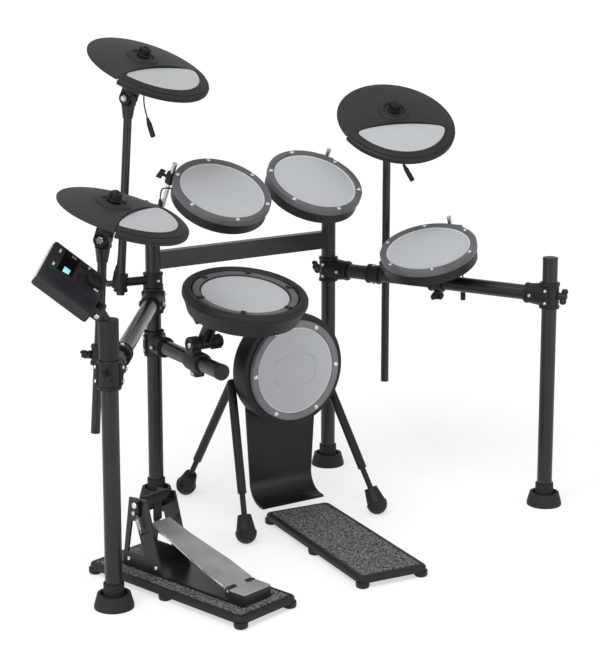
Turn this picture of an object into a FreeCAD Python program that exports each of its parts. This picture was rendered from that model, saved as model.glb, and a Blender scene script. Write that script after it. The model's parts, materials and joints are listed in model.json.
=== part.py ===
import FreeCAD
import Part
import Sketcher
import math
import os
import re
from types import SimpleNamespace

# An electronic drum kit on a folding tube rack.
# Millimetres, +Z up, the player sits at -Y, the rear bar of the rack runs along X.
# The rack's own layout starts midway between the rear posts on the floor, and the
# kit is then moved so that the middle of its footprint lies over the origin.

SIZES = {
    # where the middle of the footprint lies in the rack's layout
    "middle_x": -122.525,
    "middle_y": -375.465,
    # fits
    "running_clearance": 0.05,
    "seat_gap": 0.3,
    "cut_overrun": 2.0,
    # rack tubes and posts
    "tube_diameter": 38.1,
    "tube_wall": 1.6,
    "post_spacing": 531.0,
    "rear_post_top": 736.0,
    "front_post_top": 642.0,
    "left_post_top": 600.0,
    "crossbar_level": 628.0,
    "crossbar_height": 45.0,
    "crossbar_depth": 24.0,
    "left_arm_level": 526.0,
    "left_arm_span": 710.0,
    "left_arm_angle": -125.6,
    "right_arm_level": 547.0,
    "right_arm_span": 638.0,
    "right_arm_angle": -63.4,
    # rubber feet
    "foot_base_radius": 44.0,
    "foot_shoulder_radius": 37.0,
    "foot_shoulder_height": 32.0,
    "foot_recess_radius": 30.0,
    "foot_recess_depth": 9.0,
    "foot_collar_radius": 23.0,
    "foot_collar_height": 56.0,
    "foot_floor": 6.0,
    # tube clamps
    "clamp_radius": 24.0,
    "clamp_height": 64.0,
    "clamp_flare_radius": 31.0,
    "clamp_reach": 62.0,
    "clamp_seat": 26.0,
    "bolt_radius": 4.0,
    "bolt_length": 18.0,
    "wing_span": 34.0,
    "wing_height": 13.0,
    "wing_thickness": 6.0,
    # pole clamps
    "pole_clamp_radius": 16.0,
    "pole_clamp_height": 44.0,
    "pole_clamp_width": 34.0,
    "pole_bridge_thickness": 22.0,
    # cymbal poles and tilters
    "pole_diameter": 21.0,
    "pole_wall": 2.0,
    "collar_length": 32.0,
    "ear_radius": 17.0,
    "ear_thickness": 16.0,
    "ear_stem": 19.0,
    "cheek_thickness": 9.0,
    "cheek_gap": 0.4,
    "tilter_rise": 18.5,
    "tilter_bridge": 8.0,
    "tilter_cap_radius": 24.0,
    "tilter_pin_radius": 4.0,
    "tilter_bolt_head": 4.0,
    "stud_radius": 6.0,
    "stud_top": 30.0,
    "rock_depth": 20.0,
    "rock_ball_radius": 9.7,
    "stopper_radius": 15.0,
    "stopper_gap": 5.0,
    "stopper_height": 22.0,
    # pad cymbals, measured from the hole in the bell, +X towards the mesh
    "cymbal_radius": 156.0,
    "hihat_radius": 150.0,
    "cymbal_offset": 28.0,
    "bow_drop": 14.0,
    "bow_mid_radius": 90.0,
    "bow_mid_drop": 4.0,
    "bow_thickness": 3.0,
    "bell_radius": 40.0,
    "bell_height": 4.0,
    "mesh_line": 46.0,
    "mesh_line_arch": 420.0,
    "rim_width": 34.0,
    "rim_depth": 22.0,
    "rim_wall": 4.0,
    "mesh_thickness": 2.0,
    "mesh_ledge": 5.0,
    "hub_radius": 27.0,
    "hub_depth": 38.0,
    "hub_wall": 17.0,
    # crash
    "crash_pole_x": -351.1,
    "crash_pole_y": 10.0,
    "crash_clamp_level": 579.0,
    "crash_pole_foot": 548.0,
    "crash_pole_lean_angle": 3.8,
    "crash_hinge_level": 1041.0,
    "crash_reach": 113.0,
    "crash_tilt_angle": 25.0,
    "crash_tilt_heading_angle": -67.8,
    "crash_mesh_heading_angle": -72.0,
    # ride
    "ride_pole_along": 141.0,
    "ride_pole_offset": 62.0,
    "ride_pole_foot": 240.0,
    "ride_hinge_level": 893.7,
    "ride_reach": 103.0,
    "ride_tilt_angle": 32.6,
    "ride_tilt_heading_angle": -107.0,
    "ride_mesh_heading_angle": -105.0,
    # hi-hat
    "hihat_pole_along": 162.0,
    "hihat_pole_offset": 50.0,
    "hihat_pole_foot": 345.0,
    "hihat_pole_lean_angle": 3.4,
    "hihat_lean_heading_angle": -32.7,
    "hihat_hinge_level": 787.4,
    "hihat_reach": 86.0,
    "hihat_tilt_angle": 18.2,
    "hihat_tilt_heading_angle": -50.8,
    "hihat_mesh_heading_angle": -50.0,
    # tom pads, measured from the middle of the head
    "pad_radius": 122.0,
    "pad_wall": 6.0,
    "pad_floor": 4.0,
    "pad_depth": 36.0,
    "head_thickness": 2.0,
    "hoop_radius": 125.0,
    "hoop_bore_radius": 108.0,
    "hoop_height": 5.0,
    "hoop_skirt": 11.0,
    "boss_radius": 13.0,
    "boss_web": 20.0,
    "rod_radius": 6.35,
    "rod_bend_radius": 12.0,
    "rod_gap": 1.5,
    "rod_end": 7.0,
    "rod_rise": 20.0,
    "rod_level": 757.0,
    "holder_radius": 22.5,
    "holder_skirt": 22.0,
    "barrel_radius": 14.0,
    "barrel_half": 12.0,
    "rack_rod_back": 96.0,
    "rack_rod_drop": 124.0,
    "left_rod_reach": 27.5,
    "right_rod_reach": 47.5,
    "rack_tom_tilt_angle": 30.5,
    "floor_tom_along": 326.0,
    "floor_tom_offset": -56.0,
    "floor_tom_level": 644.0,
    "floor_tom_tilt_angle": 20.0,
    "floor_clamp_length": 36.0,
    # snare
    "snare_arm_level": 415.0,
    "snare_arm_length": 362.0,
    "snare_x": -238.0,
    "snare_y": -407.0,
    "snare_level": 614.0,
    "snare_tilt_angle": 13.0,
    "snare_radius": 146.0,
    "snare_lip_radius": 148.5,
    "snare_lip_height": 20.0,
    "snare_rise": 9.0,
    "snare_depth": 46.0,
    "snare_taper": 14.0,
    "snare_floor": 5.0,
    "snare_inner_radius": 127.0,
    "snare_boss_back": 96.0,
    "snare_boss_drop": 72.0,
    "snare_boss_length": 44.0,
    "snare_holder_width": 40.0,
    "snare_cheek": 12.0,
    "end_cap_length": 14.0,
    # kick
    "kick_x": -45.0,
    "kick_y": -321.0,
    "kick_level": 383.0,
    "kick_depth": 64.0,
    "kick_barrel_radius": 141.0,
    "kick_barrel_set": 7.0,
    "kick_barrel_bevel": 5.0,
    "kick_plate_thickness": 6.0,
    "kick_plate_top": 455.0,
    "kick_plate_bend": 94.0,
    "kick_plate_top_half": 108.0,
    "kick_plate_tip_half": 54.0,
    "kick_plate_low_half": 90.0,
    "kick_bend_radius": 50.0,
    "kick_flange_depth": 8.0,
    "kick_bar_level": 350.0,
    "kick_bar_half": 134.0,
    "leg_tube_radius": 11.0,
    "leg_rod_radius": 7.0,
    "leg_ball_radius": 26.0,
    "leg_cup_radius": 17.0,
    "leg_cup_length": 30.0,
    "leg_cup_sink": 13.0,
    "leg_tube_share": 0.74,
    "leg_socket": 110.0,
    "leg_insert": 60.0,
    "front_leg_half": 192.0,
    "front_leg_y": -402.0,
    "rear_leg_half": 141.0,
    "rear_leg_y": -14.0,
    # floor trays and mats
    "tray_length": 490.0,
    "tray_width": 178.0,
    "tray_height": 20.0,
    "tray_foot_height": 8.0,
    "tray_foot_radius": 10.0,
    "tray_border": 14.0,
    "tray_recess": 4.0,
    "mat_thickness": 5.0,
    "kick_tray_x": -61.1,
    "kick_tray_y": -557.5,
    "kick_tray_angle": -5.5,
    "pedal_tray_along": -104.1,
    "pedal_tray_aside": -155.2,
    "pedal_tray_angle": 15.1,
    # hi-hat pedal, measured from the middle of its tray
    "pedal_base_width": 92.0,
    "pedal_base_thickness": 6.0,
    "pedal_base_front": -205.0,
    "pedal_base_back": 180.0,
    "heel_hinge_y": -158.0,
    "heel_hinge_z": 52.0,
    "heel_length": 44.0,
    "heel_pin_radius": 3.5,
    "heel_knuckle_radius": 7.0,
    "heel_knuckle_length": 26.0,
    "board_length": 268.0,
    "board_widest": 80.0,
    "board_narrowest": 201.0,
    "board_heel_half": 41.0,
    "board_toe_half": 30.0,
    "board_thickness": 6.0,
    "board_angle": 18.0,
    "upright_half": 46.0,
    "upright_thickness": 5.0,
    "upright_low": 30.0,
    "upright_front_low": 42.0,
    "upright_back_low": 172.0,
    "upright_front_high": 91.0,
    "upright_back_high": 147.0,
    "upright_top": 200.0,
    "upright_back_top": 195.0,
    "window_low": 66.0,
    "window_high": 142.0,
    "window_front_low": 100.0,
    "window_back_low": 154.0,
    "window_front_high": 126.0,
    "window_back_high": 140.0,
    "spacer_radius": 5.0,
    "spacer_y": 132.0,
    "spacer_level": 160.0,
    "axle_radius": 5.0,
    "axle_y": 115.5,
    "axle_level": 185.0,
    "axle_head_radius": 7.0,
    "axle_head_height": 4.0,
    "drum_radius": 14.0,
    "drum_half": 32.0,
    "strap_half": 12.0,
    "strap_thickness": 3.0,
    "strap_low": 140.0,
    "spring_arm_half": 6.0,
    "spring_arm_thickness": 5.0,
    "spring_arm_drop": 22.0,
    "spring_pin_radius": 1.5,
    "spring_pin_length": 12.0,
    "spring_axis_x": -54.5,
    "spring_peg_y": 99.0,
    "spring_peg_level": 120.0,
    "spring_radius": 4.0,
    "spring_wire": 1.2,
    "spring_leg": 4.0,
    "spring_entry": 4.0,
    "spring_turns_count": 12.0,
    # sound module, measured from the middle of its face
    "module_width": 162.0,
    "module_height": 141.0,
    "module_depth": 25.0,
    "module_chamfer": 5.0,
    "module_along": -5.2,
    "module_aside": 73.1,
    "module_level": 734.9,
    "module_roll_angle": 22.4,
    "module_heading_angle": -56.4,
    "module_tilt_angle": 42.8,
    "module_eye_width": 26.0,
    "module_eye_radius": 11.0,
    "module_eye_drop": 14.0,
    "module_lug_width": 10.0,
    "module_neck": 16.0,
    "sleeve_radius": 22.0,
    "sleeve_top": 646.0,
    "knob_radius": 20.0,
    "knob_height": 9.0,
    "knob_across": 31.8,
    "knob_down": 42.4,
    "knob_shaft_radius": 3.0,
    "knob_shaft_depth": 12.0,
    # pigtail leads
    "lead_diameter": 3.6,
    "socket_radius": 6.5,
    "socket_neck_radius": 3.5,
    "socket_neck": 16.0,
    "socket_length": 34.0,
    "cord_bend_share": 0.45,
}

doc = FreeCAD.newDocument("drum_kit")
sheet = doc.addObject("Spreadsheet::Sheet", "Sizes")
for row, (alias, number) in enumerate(SIZES.items(), start=1):
    sheet.set(f"A{row}", alias)
    sheet.set(f"B{row}", str(number))
    sheet.setAlias(f"B{row}", alias)
doc.recompute()
v = SimpleNamespace(**SIZES)

X_AXIS = FreeCAD.Vector(1, 0, 0)
Y_AXIS = FreeCAD.Vector(0, 1, 0)
Z_AXIS = FreeCAD.Vector(0, 0, 1)


def point(x, y, z):
    return FreeCAD.Vector(x, y, z)


def turn(axis, angle):
    return FreeCAD.Rotation(axis, angle)


def heading(angle):
    """Unit vector on the floor at an angle from +X."""
    return point(math.cos(math.radians(angle)), math.sin(math.radians(angle)), 0)


def place(position, rotation=None):
    return FreeCAD.Placement(position, rotation or FreeCAD.Rotation())


def aim(start, direction):
    """Placement whose Z axis runs along a direction from a start point."""
    return place(start, FreeCAD.Rotation(Z_AXIS, direction))


def bind(item, prop, formula):
    """Tie a property to a formula of the sheet's aliases."""
    item.setExpression(prop, re.sub(r"[a-z][a-z0-9_]*", lambda word: "Sizes." + word.group(0), formula))


def rod(name, radius, length, placement=None):
    item = doc.addObject("Part::Cylinder", name)
    bind(item, "Radius", radius)
    bind(item, "Height", length)
    item.Placement = placement or place(point(0, 0, 0))
    return item


def measured_rod(name, radius, length, placement):
    """A rod whose length follows from the places of its two ends."""
    item = doc.addObject("Part::Cylinder", name)
    bind(item, "Radius", radius)
    item.Height = length
    item.Placement = placement
    return item


def taper(name, low_radius, high_radius, length, placement=None):
    item = doc.addObject("Part::Cone", name)
    bind(item, "Radius1", low_radius)
    bind(item, "Radius2", high_radius)
    bind(item, "Height", length)
    item.Placement = placement or place(point(0, 0, 0))
    return item


def ball(name, radius, centre):
    item = doc.addObject("Part::Sphere", name)
    bind(item, "Radius", radius)
    item.Placement = place(centre)
    return item


def block(name, sizes, corner, rotation=None):
    """Box of three formulas, with its low corner at a point."""
    item = doc.addObject("Part::Box", name)
    for prop, formula in zip(("Length", "Width", "Height"), sizes):
        bind(item, prop, formula)
    item.Placement = place(corner, rotation)
    return item


def measured_block(name, sizes, corner, rotation=None):
    """Box whose sides follow from the places of what it joins."""
    item = doc.addObject("Part::Box", name)
    item.Length, item.Width, item.Height = sizes
    item.Placement = place(corner, rotation)
    return item


def join(name, items):
    item = doc.addObject("Part::MultiFuse", name)
    item.Shapes = items
    item.Refine = True
    return item


def cut(name, base, tools):
    item = doc.addObject("Part::Cut", name)
    item.Base = base
    item.Tool = tools[0] if len(tools) == 1 else join(name + "_tools", tools)
    item.Refine = True
    return item


def shared(name, base, tool):
    item = doc.addObject("Part::Common", name)
    item.Base = base
    item.Tool = tool
    return item


def group(name, items):
    item = doc.addObject("Part::Compound", name)
    item.Links = items
    return item


def sketch_outline(body, role, outline):
    """Closed line sketch on one of the body's planes, every corner tied to the sheet."""
    plane = [item for item in body.Origin.OriginFeatures if item.Role == role][0]
    sketch = body.newObject("Sketcher::SketchObject", body.Name + "_outline")
    sketch.AttachmentSupport = [(plane, "")]
    sketch.MapMode = "FlatFace"
    spots = [point(*corner_value(corner), 0) for corner in outline]
    for index, spot in enumerate(spots):
        sketch.addGeometry(Part.LineSegment(spot, spots[(index + 1) % len(spots)]), False)
    for index in range(len(spots)):
        before = (index - 1) % len(spots)
        sketch.addConstraint(Sketcher.Constraint("Coincident", before, 2, index, 1))
    for index, corner in enumerate(outline):
        for kind, axis, formula in (("DistanceX", -2, corner[0]), ("DistanceY", -1, corner[1])):
            if formula == "0":
                sketch.addConstraint(Sketcher.Constraint("PointOnObject", index, 1, axis))
                continue
            spot = spots[index].x if kind == "DistanceX" else spots[index].y
            number = sketch.addConstraint(Sketcher.Constraint(kind, -1, 1, index, 1, spot))
            bind(sketch, f"Constraints[{number}]", formula)
    return sketch


def corner_value(corner):
    """Numbers of a corner's two formulas, read from a spare cell of the sheet."""
    numbers = []
    for formula in corner:
        sheet.set("D1", "=" + formula)
        sheet.recompute()
        numbers.append(float(sheet.get("D1")))
    return numbers


def spun(name, outline):
    """Body of revolution about Z from corners given as radius and height."""
    body = doc.addObject("PartDesign::Body", name)
    sketch = sketch_outline(body, "XZ_Plane", outline)
    revolution = body.newObject("PartDesign::Revolution", name + "_revolution")
    revolution.Profile = sketch
    revolution.ReferenceAxis = (sketch, ["V_Axis"])
    revolution.Angle = 360
    body.Tip = revolution
    return body


def slab(name, outline, thickness, role="XY_Plane"):
    """Body padded from an outline."""
    body = doc.addObject("PartDesign::Body", name)
    sketch = sketch_outline(body, role, outline)
    pad = body.newObject("PartDesign::Pad", name + "_pad")
    pad.Profile = sketch
    bind(pad, "Length", thickness)
    body.Tip = pad
    return body


nodes = {}


def node(name, items):
    """Name a finished piece, or a set of like pieces, and move it with the whole kit."""
    item = items[0] if len(items) == 1 else group(name + "_set", items)
    item.Label = name
    shift = place(point(-v.middle_x, -v.middle_y, 0))
    item.Placement = shift.multiply(item.Placement)
    nodes[name] = item


def moved(item, placement):
    item.Placement = placement.multiply(item.Placement)
    return item


# The four upright posts stand at the corners of the rack.
left_rear = point(-v.post_spacing / 2, 0, 0)
right_rear = point(v.post_spacing / 2, 0, 0)
left_way = heading(v.left_arm_angle)
right_way = heading(v.right_arm_angle)
left_front = left_rear + left_way * v.left_arm_span
right_front = right_rear + right_way * v.right_arm_span
tube_radius = v.tube_diameter / 2


def post(name, base, top):
    """Steel tube closed at its upper end, standing on the floor of its rubber foot."""
    seat = place(base + Z_AXIS * v.foot_floor)
    length = top - v.foot_floor
    outer = measured_rod(name + "_outer", "tube_diameter / 2", length, seat)
    bore = measured_rod(name + "_bore", "tube_diameter / 2 - tube_wall", length - v.tube_wall, seat)
    return cut(name, outer, [bore])


def foot(name, base):
    """Rubber bell with a raised collar that grips the tube."""
    item = spun(name, [
        ("0", "0"), ("foot_base_radius", "0"), ("foot_base_radius", "foot_floor"),
        ("foot_shoulder_radius", "foot_shoulder_height"),
        ("foot_recess_radius", "foot_shoulder_height"),
        ("foot_recess_radius", "foot_shoulder_height - foot_recess_depth"),
        ("foot_collar_radius", "foot_shoulder_height - foot_recess_depth"),
        ("foot_collar_radius", "foot_collar_height"),
        ("tube_diameter / 2 + running_clearance", "foot_collar_height"),
        ("tube_diameter / 2 + running_clearance", "foot_floor"), ("0", "foot_floor")])
    return moved(item, place(base))


# The rear frame is a weldment: two posts with a flat bar between them.
bar = measured_block("crossbar", (v.post_spacing, v.crossbar_depth, v.crossbar_height),
                     point(left_rear.x, -v.crossbar_depth / 2, v.crossbar_level - v.crossbar_height / 2))
bar_clear = [rod(f"crossbar_end_{side}", "tube_diameter / 2 - tube_wall / 2", "rear_post_top", place(base))
             for side, base in (("left", left_rear), ("right", right_rear))]
node("rear_frame", [join("rear_weldment", [
    post("left_rear_post", left_rear, v.rear_post_top),
    post("right_rear_post", right_rear, v.rear_post_top),
    cut("crossbar_fitted", bar, bar_clear)])])
node("rear_feet", [foot("left_rear_foot", left_rear), foot("right_rear_foot", right_rear)])
node("left_front_post", [post("left_front_tube", left_front, v.left_post_top)])
node("left_front_foot", [foot("left_front_bell", left_front)])
node("right_front_post", [post("right_front_tube", right_front, v.front_post_top)])
node("right_front_foot", [foot("right_front_bell", right_front)])


def wing_bolt(name, start, way):
    """Clamp bolt with a flat wing head, pointing away from the clamp."""
    shank = rod(name + "_shank", "bolt_radius", "bolt_length", aim(start, way))
    head = block(name + "_wing", ("wing_thickness", "wing_span", "wing_height"),
                 point(-v.wing_thickness / 2, -v.wing_span / 2, v.bolt_length - v.wing_height / 2))
    moved(head, aim(start, way))
    return [shank, head]


def tee_clamp(name, base, level, way):
    """Clamp that joins a level tube to a post, flared round the post."""
    middle = base + Z_AXIS * level
    upright = rod(name + "_upright", "clamp_radius", "clamp_height",
                  place(middle - Z_AXIS * (v.clamp_height / 2)))
    arm = taper(name + "_flare", "clamp_flare_radius", "clamp_radius", "clamp_reach", aim(middle, way))
    bolt = wing_bolt(name + "_bolt", middle - way * (v.clamp_radius - v.bolt_radius), way * -1)
    body = join(name + "_body", [upright, arm] + bolt)
    bore = rod(name + "_post_bore", "tube_diameter / 2 + running_clearance", "clamp_height + 2 * cut_overrun",
               place(middle - Z_AXIS * (v.clamp_height / 2 + v.cut_overrun)))
    seat = rod(name + "_arm_bore", "tube_diameter / 2 + running_clearance", "clamp_reach",
               aim(middle + way * v.clamp_seat, way))
    return cut(name, body, [bore, seat])


def arm_tube(name, base, level, way, span):
    """Level tube between the seats of two tee clamps."""
    start = base + Z_AXIS * level + way * v.clamp_seat
    length = span - 2 * v.clamp_seat
    outer = measured_rod(name + "_outer", "tube_diameter / 2", length, aim(start, way))
    bore = measured_rod(name + "_bore", "tube_diameter / 2 - tube_wall", length, aim(start, way))
    return cut(name, outer, [bore])


node("left_arm", [arm_tube("left_arm_tube", left_rear, v.left_arm_level, left_way, v.left_arm_span)])
node("right_arm", [arm_tube("right_arm_tube", right_rear, v.right_arm_level, right_way, v.right_arm_span)])


def lean(angle, lean_heading):
    """Unit vector that leans from upright towards a heading."""
    return heading(lean_heading) * math.sin(math.radians(angle)) + Z_AXIS * math.cos(math.radians(angle))


def pole_clamp(name, tube_spot, tube_way, pole_spot, pole_way):
    """Clamp that grips a tube with one jaw and a cymbal pole with the other."""
    across = pole_spot - tube_spot
    reach = across.Length
    jaw_start = tube_spot - tube_way * (v.pole_clamp_width / 2)
    jaw = rod(name + "_tube_jaw", "clamp_radius", "pole_clamp_width", aim(jaw_start, tube_way))
    sleeve = rod(name + "_pole_jaw", "pole_clamp_radius", "pole_clamp_height",
                 aim(pole_spot - pole_way * (v.pole_clamp_height / 2), pole_way))
    bridge = measured_rod(name + "_bridge", "pole_bridge_thickness / 2", reach, aim(tube_spot, across))
    across.normalize()
    bolt = wing_bolt(name + "_bolt", pole_spot + across * (v.pole_clamp_radius - v.bolt_radius), across)
    body = join(name + "_body", [jaw, sleeve, bridge] + bolt)
    tube_bore = rod(name + "_tube_bore", "tube_diameter / 2 + running_clearance",
                    "pole_clamp_width + 2 * cut_overrun",
                    aim(jaw_start - tube_way * v.cut_overrun, tube_way))
    pole_bore = rod(name + "_pole_bore", "pole_diameter / 2 + running_clearance",
                    "pole_clamp_height + 2 * cut_overrun",
                    aim(pole_spot - pole_way * (v.pole_clamp_height / 2 + v.cut_overrun), pole_way))
    return cut(name, body, [tube_bore, pole_bore])


# Poles stand upright or lean a little, so that each cymbal hangs where the player reaches it.
crash_way = lean(v.crash_pole_lean_angle, 0)
ride_way = lean(0, 0)
hihat_way = lean(v.hihat_pole_lean_angle, v.hihat_lean_heading_angle)
crash_spot = point(v.crash_pole_x, v.crash_pole_y, v.crash_clamp_level)
right_side = point(-right_way.y, right_way.x, 0)
left_side = point(left_way.y, -left_way.x, 0)
ride_tube_spot = right_rear + right_way * v.ride_pole_along + Z_AXIS * v.right_arm_level
ride_spot = ride_tube_spot + right_side * v.ride_pole_offset
hihat_tube_spot = left_front - left_way * v.hihat_pole_along + Z_AXIS * v.left_arm_level
hihat_spot = hihat_tube_spot + left_side * v.hihat_pole_offset


def tilt_frame(tilt, tilt_heading):
    """Rotation whose Z axis tilts towards a heading, with its Y axis level across it."""
    return turn(Z_AXIS, tilt_heading).multiply(turn(Y_AXIS, tilt))


def cymbal_pole(name, hinge, pole_way, foot_level, tilt_heading):
    """Tube with a flat ear on top, drilled for the tilter's pin."""
    level = place(hinge, turn(Z_AXIS, tilt_heading))
    ear = rod(name + "_ear", "ear_radius", "ear_thickness",
              place(point(0, v.ear_thickness / 2, 0), turn(X_AXIS, 90)))
    stem = block(name + "_stem", ("2 * ear_radius", "ear_thickness", "ear_stem"),
                 point(-v.ear_radius, -v.ear_thickness / 2, -v.ear_stem))
    pin_hole = rod(name + "_pin_hole", "tilter_pin_radius + running_clearance",
                   "ear_thickness + 2 * cut_overrun",
                   place(point(0, v.ear_thickness / 2 + v.cut_overrun, 0), turn(X_AXIS, 90)))
    for item in (ear, stem, pin_hole):
        moved(item, level)
    top = hinge - pole_way * v.ear_stem
    length = (top.z - foot_level) / pole_way.z
    shaft = measured_rod(name + "_shaft", "pole_diameter / 2", length, aim(top - pole_way * length, pole_way))
    bore = measured_rod(name + "_bore", "pole_diameter / 2 - pole_wall", length - v.ear_stem,
                        aim(top - pole_way * length, pole_way))
    collar = taper(name + "_collar", "pole_diameter / 2 + pole_wall", "ear_radius", "collar_length",
                   aim(top - pole_way * v.collar_length, pole_way))
    return cut(name, join(name + "_body", [ear, stem, shaft, collar]), [pin_hole, bore])


def tilter(name, reach):
    """Fork with a pin through the ear, a stud with a rocking ball, and the stopper nut on top."""
    outer = v.ear_thickness / 2 + v.cheek_gap + v.cheek_thickness
    parts = []
    for side, start in (("near", -outer), ("far", outer - v.cheek_thickness)):
        cheek = rod(f"{name}_cheek_{side}", "ear_radius", "cheek_thickness",
                    place(point(0, start + v.cheek_thickness, 0), turn(X_AXIS, 90)))
        wall = block(f"{name}_wall_{side}",
                     ("2 * ear_radius", "cheek_thickness", "tilter_rise + tilter_bridge"),
                     point(-v.ear_radius, start, 0))
        parts += [cheek, wall]
    span = "ear_thickness + 2 * cheek_gap + 2 * cheek_thickness"
    parts.append(block(name + "_bridge", ("2 * ear_radius", span, "tilter_bridge"),
                       point(-v.ear_radius, -outer, v.tilter_rise)))
    parts.append(rod(name + "_pin", "tilter_pin_radius", span + " + tilter_bolt_head",
                     place(point(0, outer, 0), turn(X_AXIS, 90))))
    parts.append(measured_rod(name + "_stud", "stud_radius", reach + v.stud_top - v.tilter_rise,
                              place(point(0, 0, v.tilter_rise))))
    parts.append(taper(name + "_cap", "ear_radius", "tilter_cap_radius", "tilter_bridge",
                       place(point(0, 0, v.tilter_rise + v.tilter_bridge / 2))))
    parts.append(ball(name + "_ball", "rock_ball_radius", point(0, 0, reach - v.rock_depth)))
    parts.append(rod(name + "_stopper", "stopper_radius", "stopper_height",
                     place(point(0, 0, reach + v.stopper_gap))))
    return join(name, parts)


def cymbal(name, radius):
    """Round pad cymbal about the hole in its bell: bow with bell ring, tub with rubber rim, and mesh lens."""
    middle = place(point(v.cymbal_offset, 0, 0))
    bow_disc = moved(spun(name + "_bow_disc", [
        ("0", "-bow_thickness"), ("bow_mid_radius", "-bow_mid_drop - bow_thickness"),
        (radius, "-bow_drop - bow_thickness"), (radius, "-bow_drop"),
        ("bow_mid_radius", "-bow_mid_drop"), ("0", "0")]), middle)
    tub_disc = moved(spun(name + "_tub_disc", [
        ("0", "-bow_drop - rim_depth"), (f"{radius} - rim_wall", "-bow_drop - rim_depth"),
        (radius, "-bow_drop - rim_depth + rim_wall"), (radius, "-bow_drop"),
        (f"{radius} - rim_width", "-bow_mid_drop"),
        (f"{radius} - rim_width", "-bow_mid_drop - mesh_thickness"),
        (f"{radius} - rim_width - mesh_ledge", "-bow_mid_drop - mesh_thickness"),
        (f"{radius} - rim_width - mesh_ledge", "-bow_mid_drop - mesh_thickness - bow_thickness"),
        (f"{radius} - rim_wall", "-bow_drop - bow_thickness"),
        (f"{radius} - rim_wall", "-bow_drop - rim_depth + bow_thickness"),
        ("0", "-bow_drop - rim_depth + bow_thickness")]), middle)
    mesh_disc = rod(name + "_mesh_disc", f"{radius} - rim_width", "mesh_thickness",
                    place(point(v.cymbal_offset, 0, -v.bow_mid_drop - v.mesh_thickness)))
    depth = "bow_drop + rim_depth + 2 * cut_overrun + bell_height"
    low = -v.bow_drop - v.rim_depth - v.cut_overrun
    arch = point(v.mesh_line + v.mesh_line_arch, 0, low)
    bow_side = rod(name + "_bow_side", "mesh_line_arch", depth, place(arch))
    tub_side = rod(name + "_tub_side", "mesh_line_arch - seat_gap", depth, place(arch))
    mesh_side = rod(name + "_mesh_side", "mesh_line_arch - 2 * seat_gap", depth, place(arch))
    bore = rod(name + "_bore", "rock_ball_radius + seat_gap", depth, place(point(0, 0, low)))
    hub = rod(name + "_hub", "hub_radius", "hub_depth - bow_thickness", place(point(0, 0, -v.hub_depth)))
    bell = taper(name + "_bell", "bell_radius", "bell_radius - bell_height", "bell_height + bow_thickness",
                 place(point(0, 0, -v.bow_thickness)))
    hollow = rod(name + "_bell_hollow", "hub_radius", "bell_height", place(point(0, 0, 0)))
    bow_half = cut(name + "_bow_cut", bow_disc, [bow_side])
    bow = cut(name + "_upper", join(name + "_upper_body", [bow_half, bell, hub]), [bore, hollow])
    tub = cut(name + "_lower", shared(name + "_tub_half", tub_disc, tub_side),
              [rod(name + "_hub_room", "hub_radius", depth, place(point(0, 0, low)))])
    strap = block(name + "_strap", ("mesh_line + cymbal_offset", "hub_wall", "bow_thickness"),
                  point(0, -v.hub_wall / 2, -v.hub_depth))
    strap_bore = rod(name + "_strap_bore", "rock_ball_radius + seat_gap", depth,
                     place(point(0, 0, low - v.cut_overrun)))
    body = cut(name + "_pad", join(name + "_pad_body", [bow, tub, strap]), [strap_bore])
    mesh = shared(name + "_lens", mesh_disc, mesh_side)
    return body, mesh


def cymbal_set(name, radius, hinge, pole_way, foot_level, reach, tilt, tilt_heading, mesh_heading):
    """Pole, tilter and pad of one cymbal, put together at the tilter's hinge."""
    tilted = tilt_frame(tilt, tilt_heading)
    pivot = hinge + tilted.multVec(Z_AXIS) * reach
    node(name + "_pole", [cymbal_pole(name + "_post", hinge, pole_way, foot_level, tilt_heading)])
    node(name + "_tilter", [moved(tilter(name + "_fork", reach), place(hinge, tilted))])
    spin = turn(Z_AXIS, mesh_heading - tilt_heading)
    body, mesh = cymbal(name, radius)
    at = place(pivot, tilted.multiply(spin))
    node(name + "_bow", [moved(body, at)])
    node(name + "_mesh", [moved(mesh, at)])
    return at


crash_rise = (v.crash_hinge_level - v.crash_clamp_level) / crash_way.z
hihat_rise = (v.hihat_hinge_level - v.left_arm_level) / hihat_way.z
crash_hinge = crash_spot + crash_way * crash_rise
ride_hinge = point(ride_spot.x, ride_spot.y, v.ride_hinge_level)
hihat_hinge = hihat_spot + hihat_way * hihat_rise
crash_at = cymbal_set("crash", "cymbal_radius", crash_hinge, crash_way, v.crash_pole_foot, v.crash_reach,
                      v.crash_tilt_angle, v.crash_tilt_heading_angle, v.crash_mesh_heading_angle)
ride_at = cymbal_set("ride", "cymbal_radius", ride_hinge, ride_way, v.ride_pole_foot, v.ride_reach,
                     v.ride_tilt_angle, v.ride_tilt_heading_angle, v.ride_mesh_heading_angle)
hihat_at = cymbal_set("hihat", "hihat_radius", hihat_hinge, hihat_way, v.hihat_pole_foot, v.hihat_reach,
                      v.hihat_tilt_angle, v.hihat_tilt_heading_angle, v.hihat_mesh_heading_angle)


def pad_hoop(name):
    """Hoop that holds the head's edge down on the shell, with a skirt outside it."""
    return spun(name, [
        ("hoop_bore_radius", "0"), ("pad_radius + seat_gap", "0"), ("pad_radius + seat_gap", "-hoop_skirt"),
        ("hoop_radius", "-hoop_skirt"), ("hoop_radius", "hoop_height"), ("hoop_bore_radius", "hoop_height")])


def pad_head(name):
    """Mesh head, a thin disc that lies on the shell's edge under the hoop."""
    return rod(name, "pad_radius", "head_thickness", place(point(0, 0, -v.head_thickness)))


def pad_shell(name, depth):
    """Cup under the head."""
    return spun(name, [
        ("0", f"-head_thickness - {depth}"), ("pad_radius", f"-head_thickness - {depth}"),
        ("pad_radius", "-head_thickness"), ("pad_radius - pad_wall", "-head_thickness"),
        ("pad_radius - pad_wall", f"-head_thickness - {depth} + pad_floor"),
        ("0", f"-head_thickness - {depth} + pad_floor")])


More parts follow.
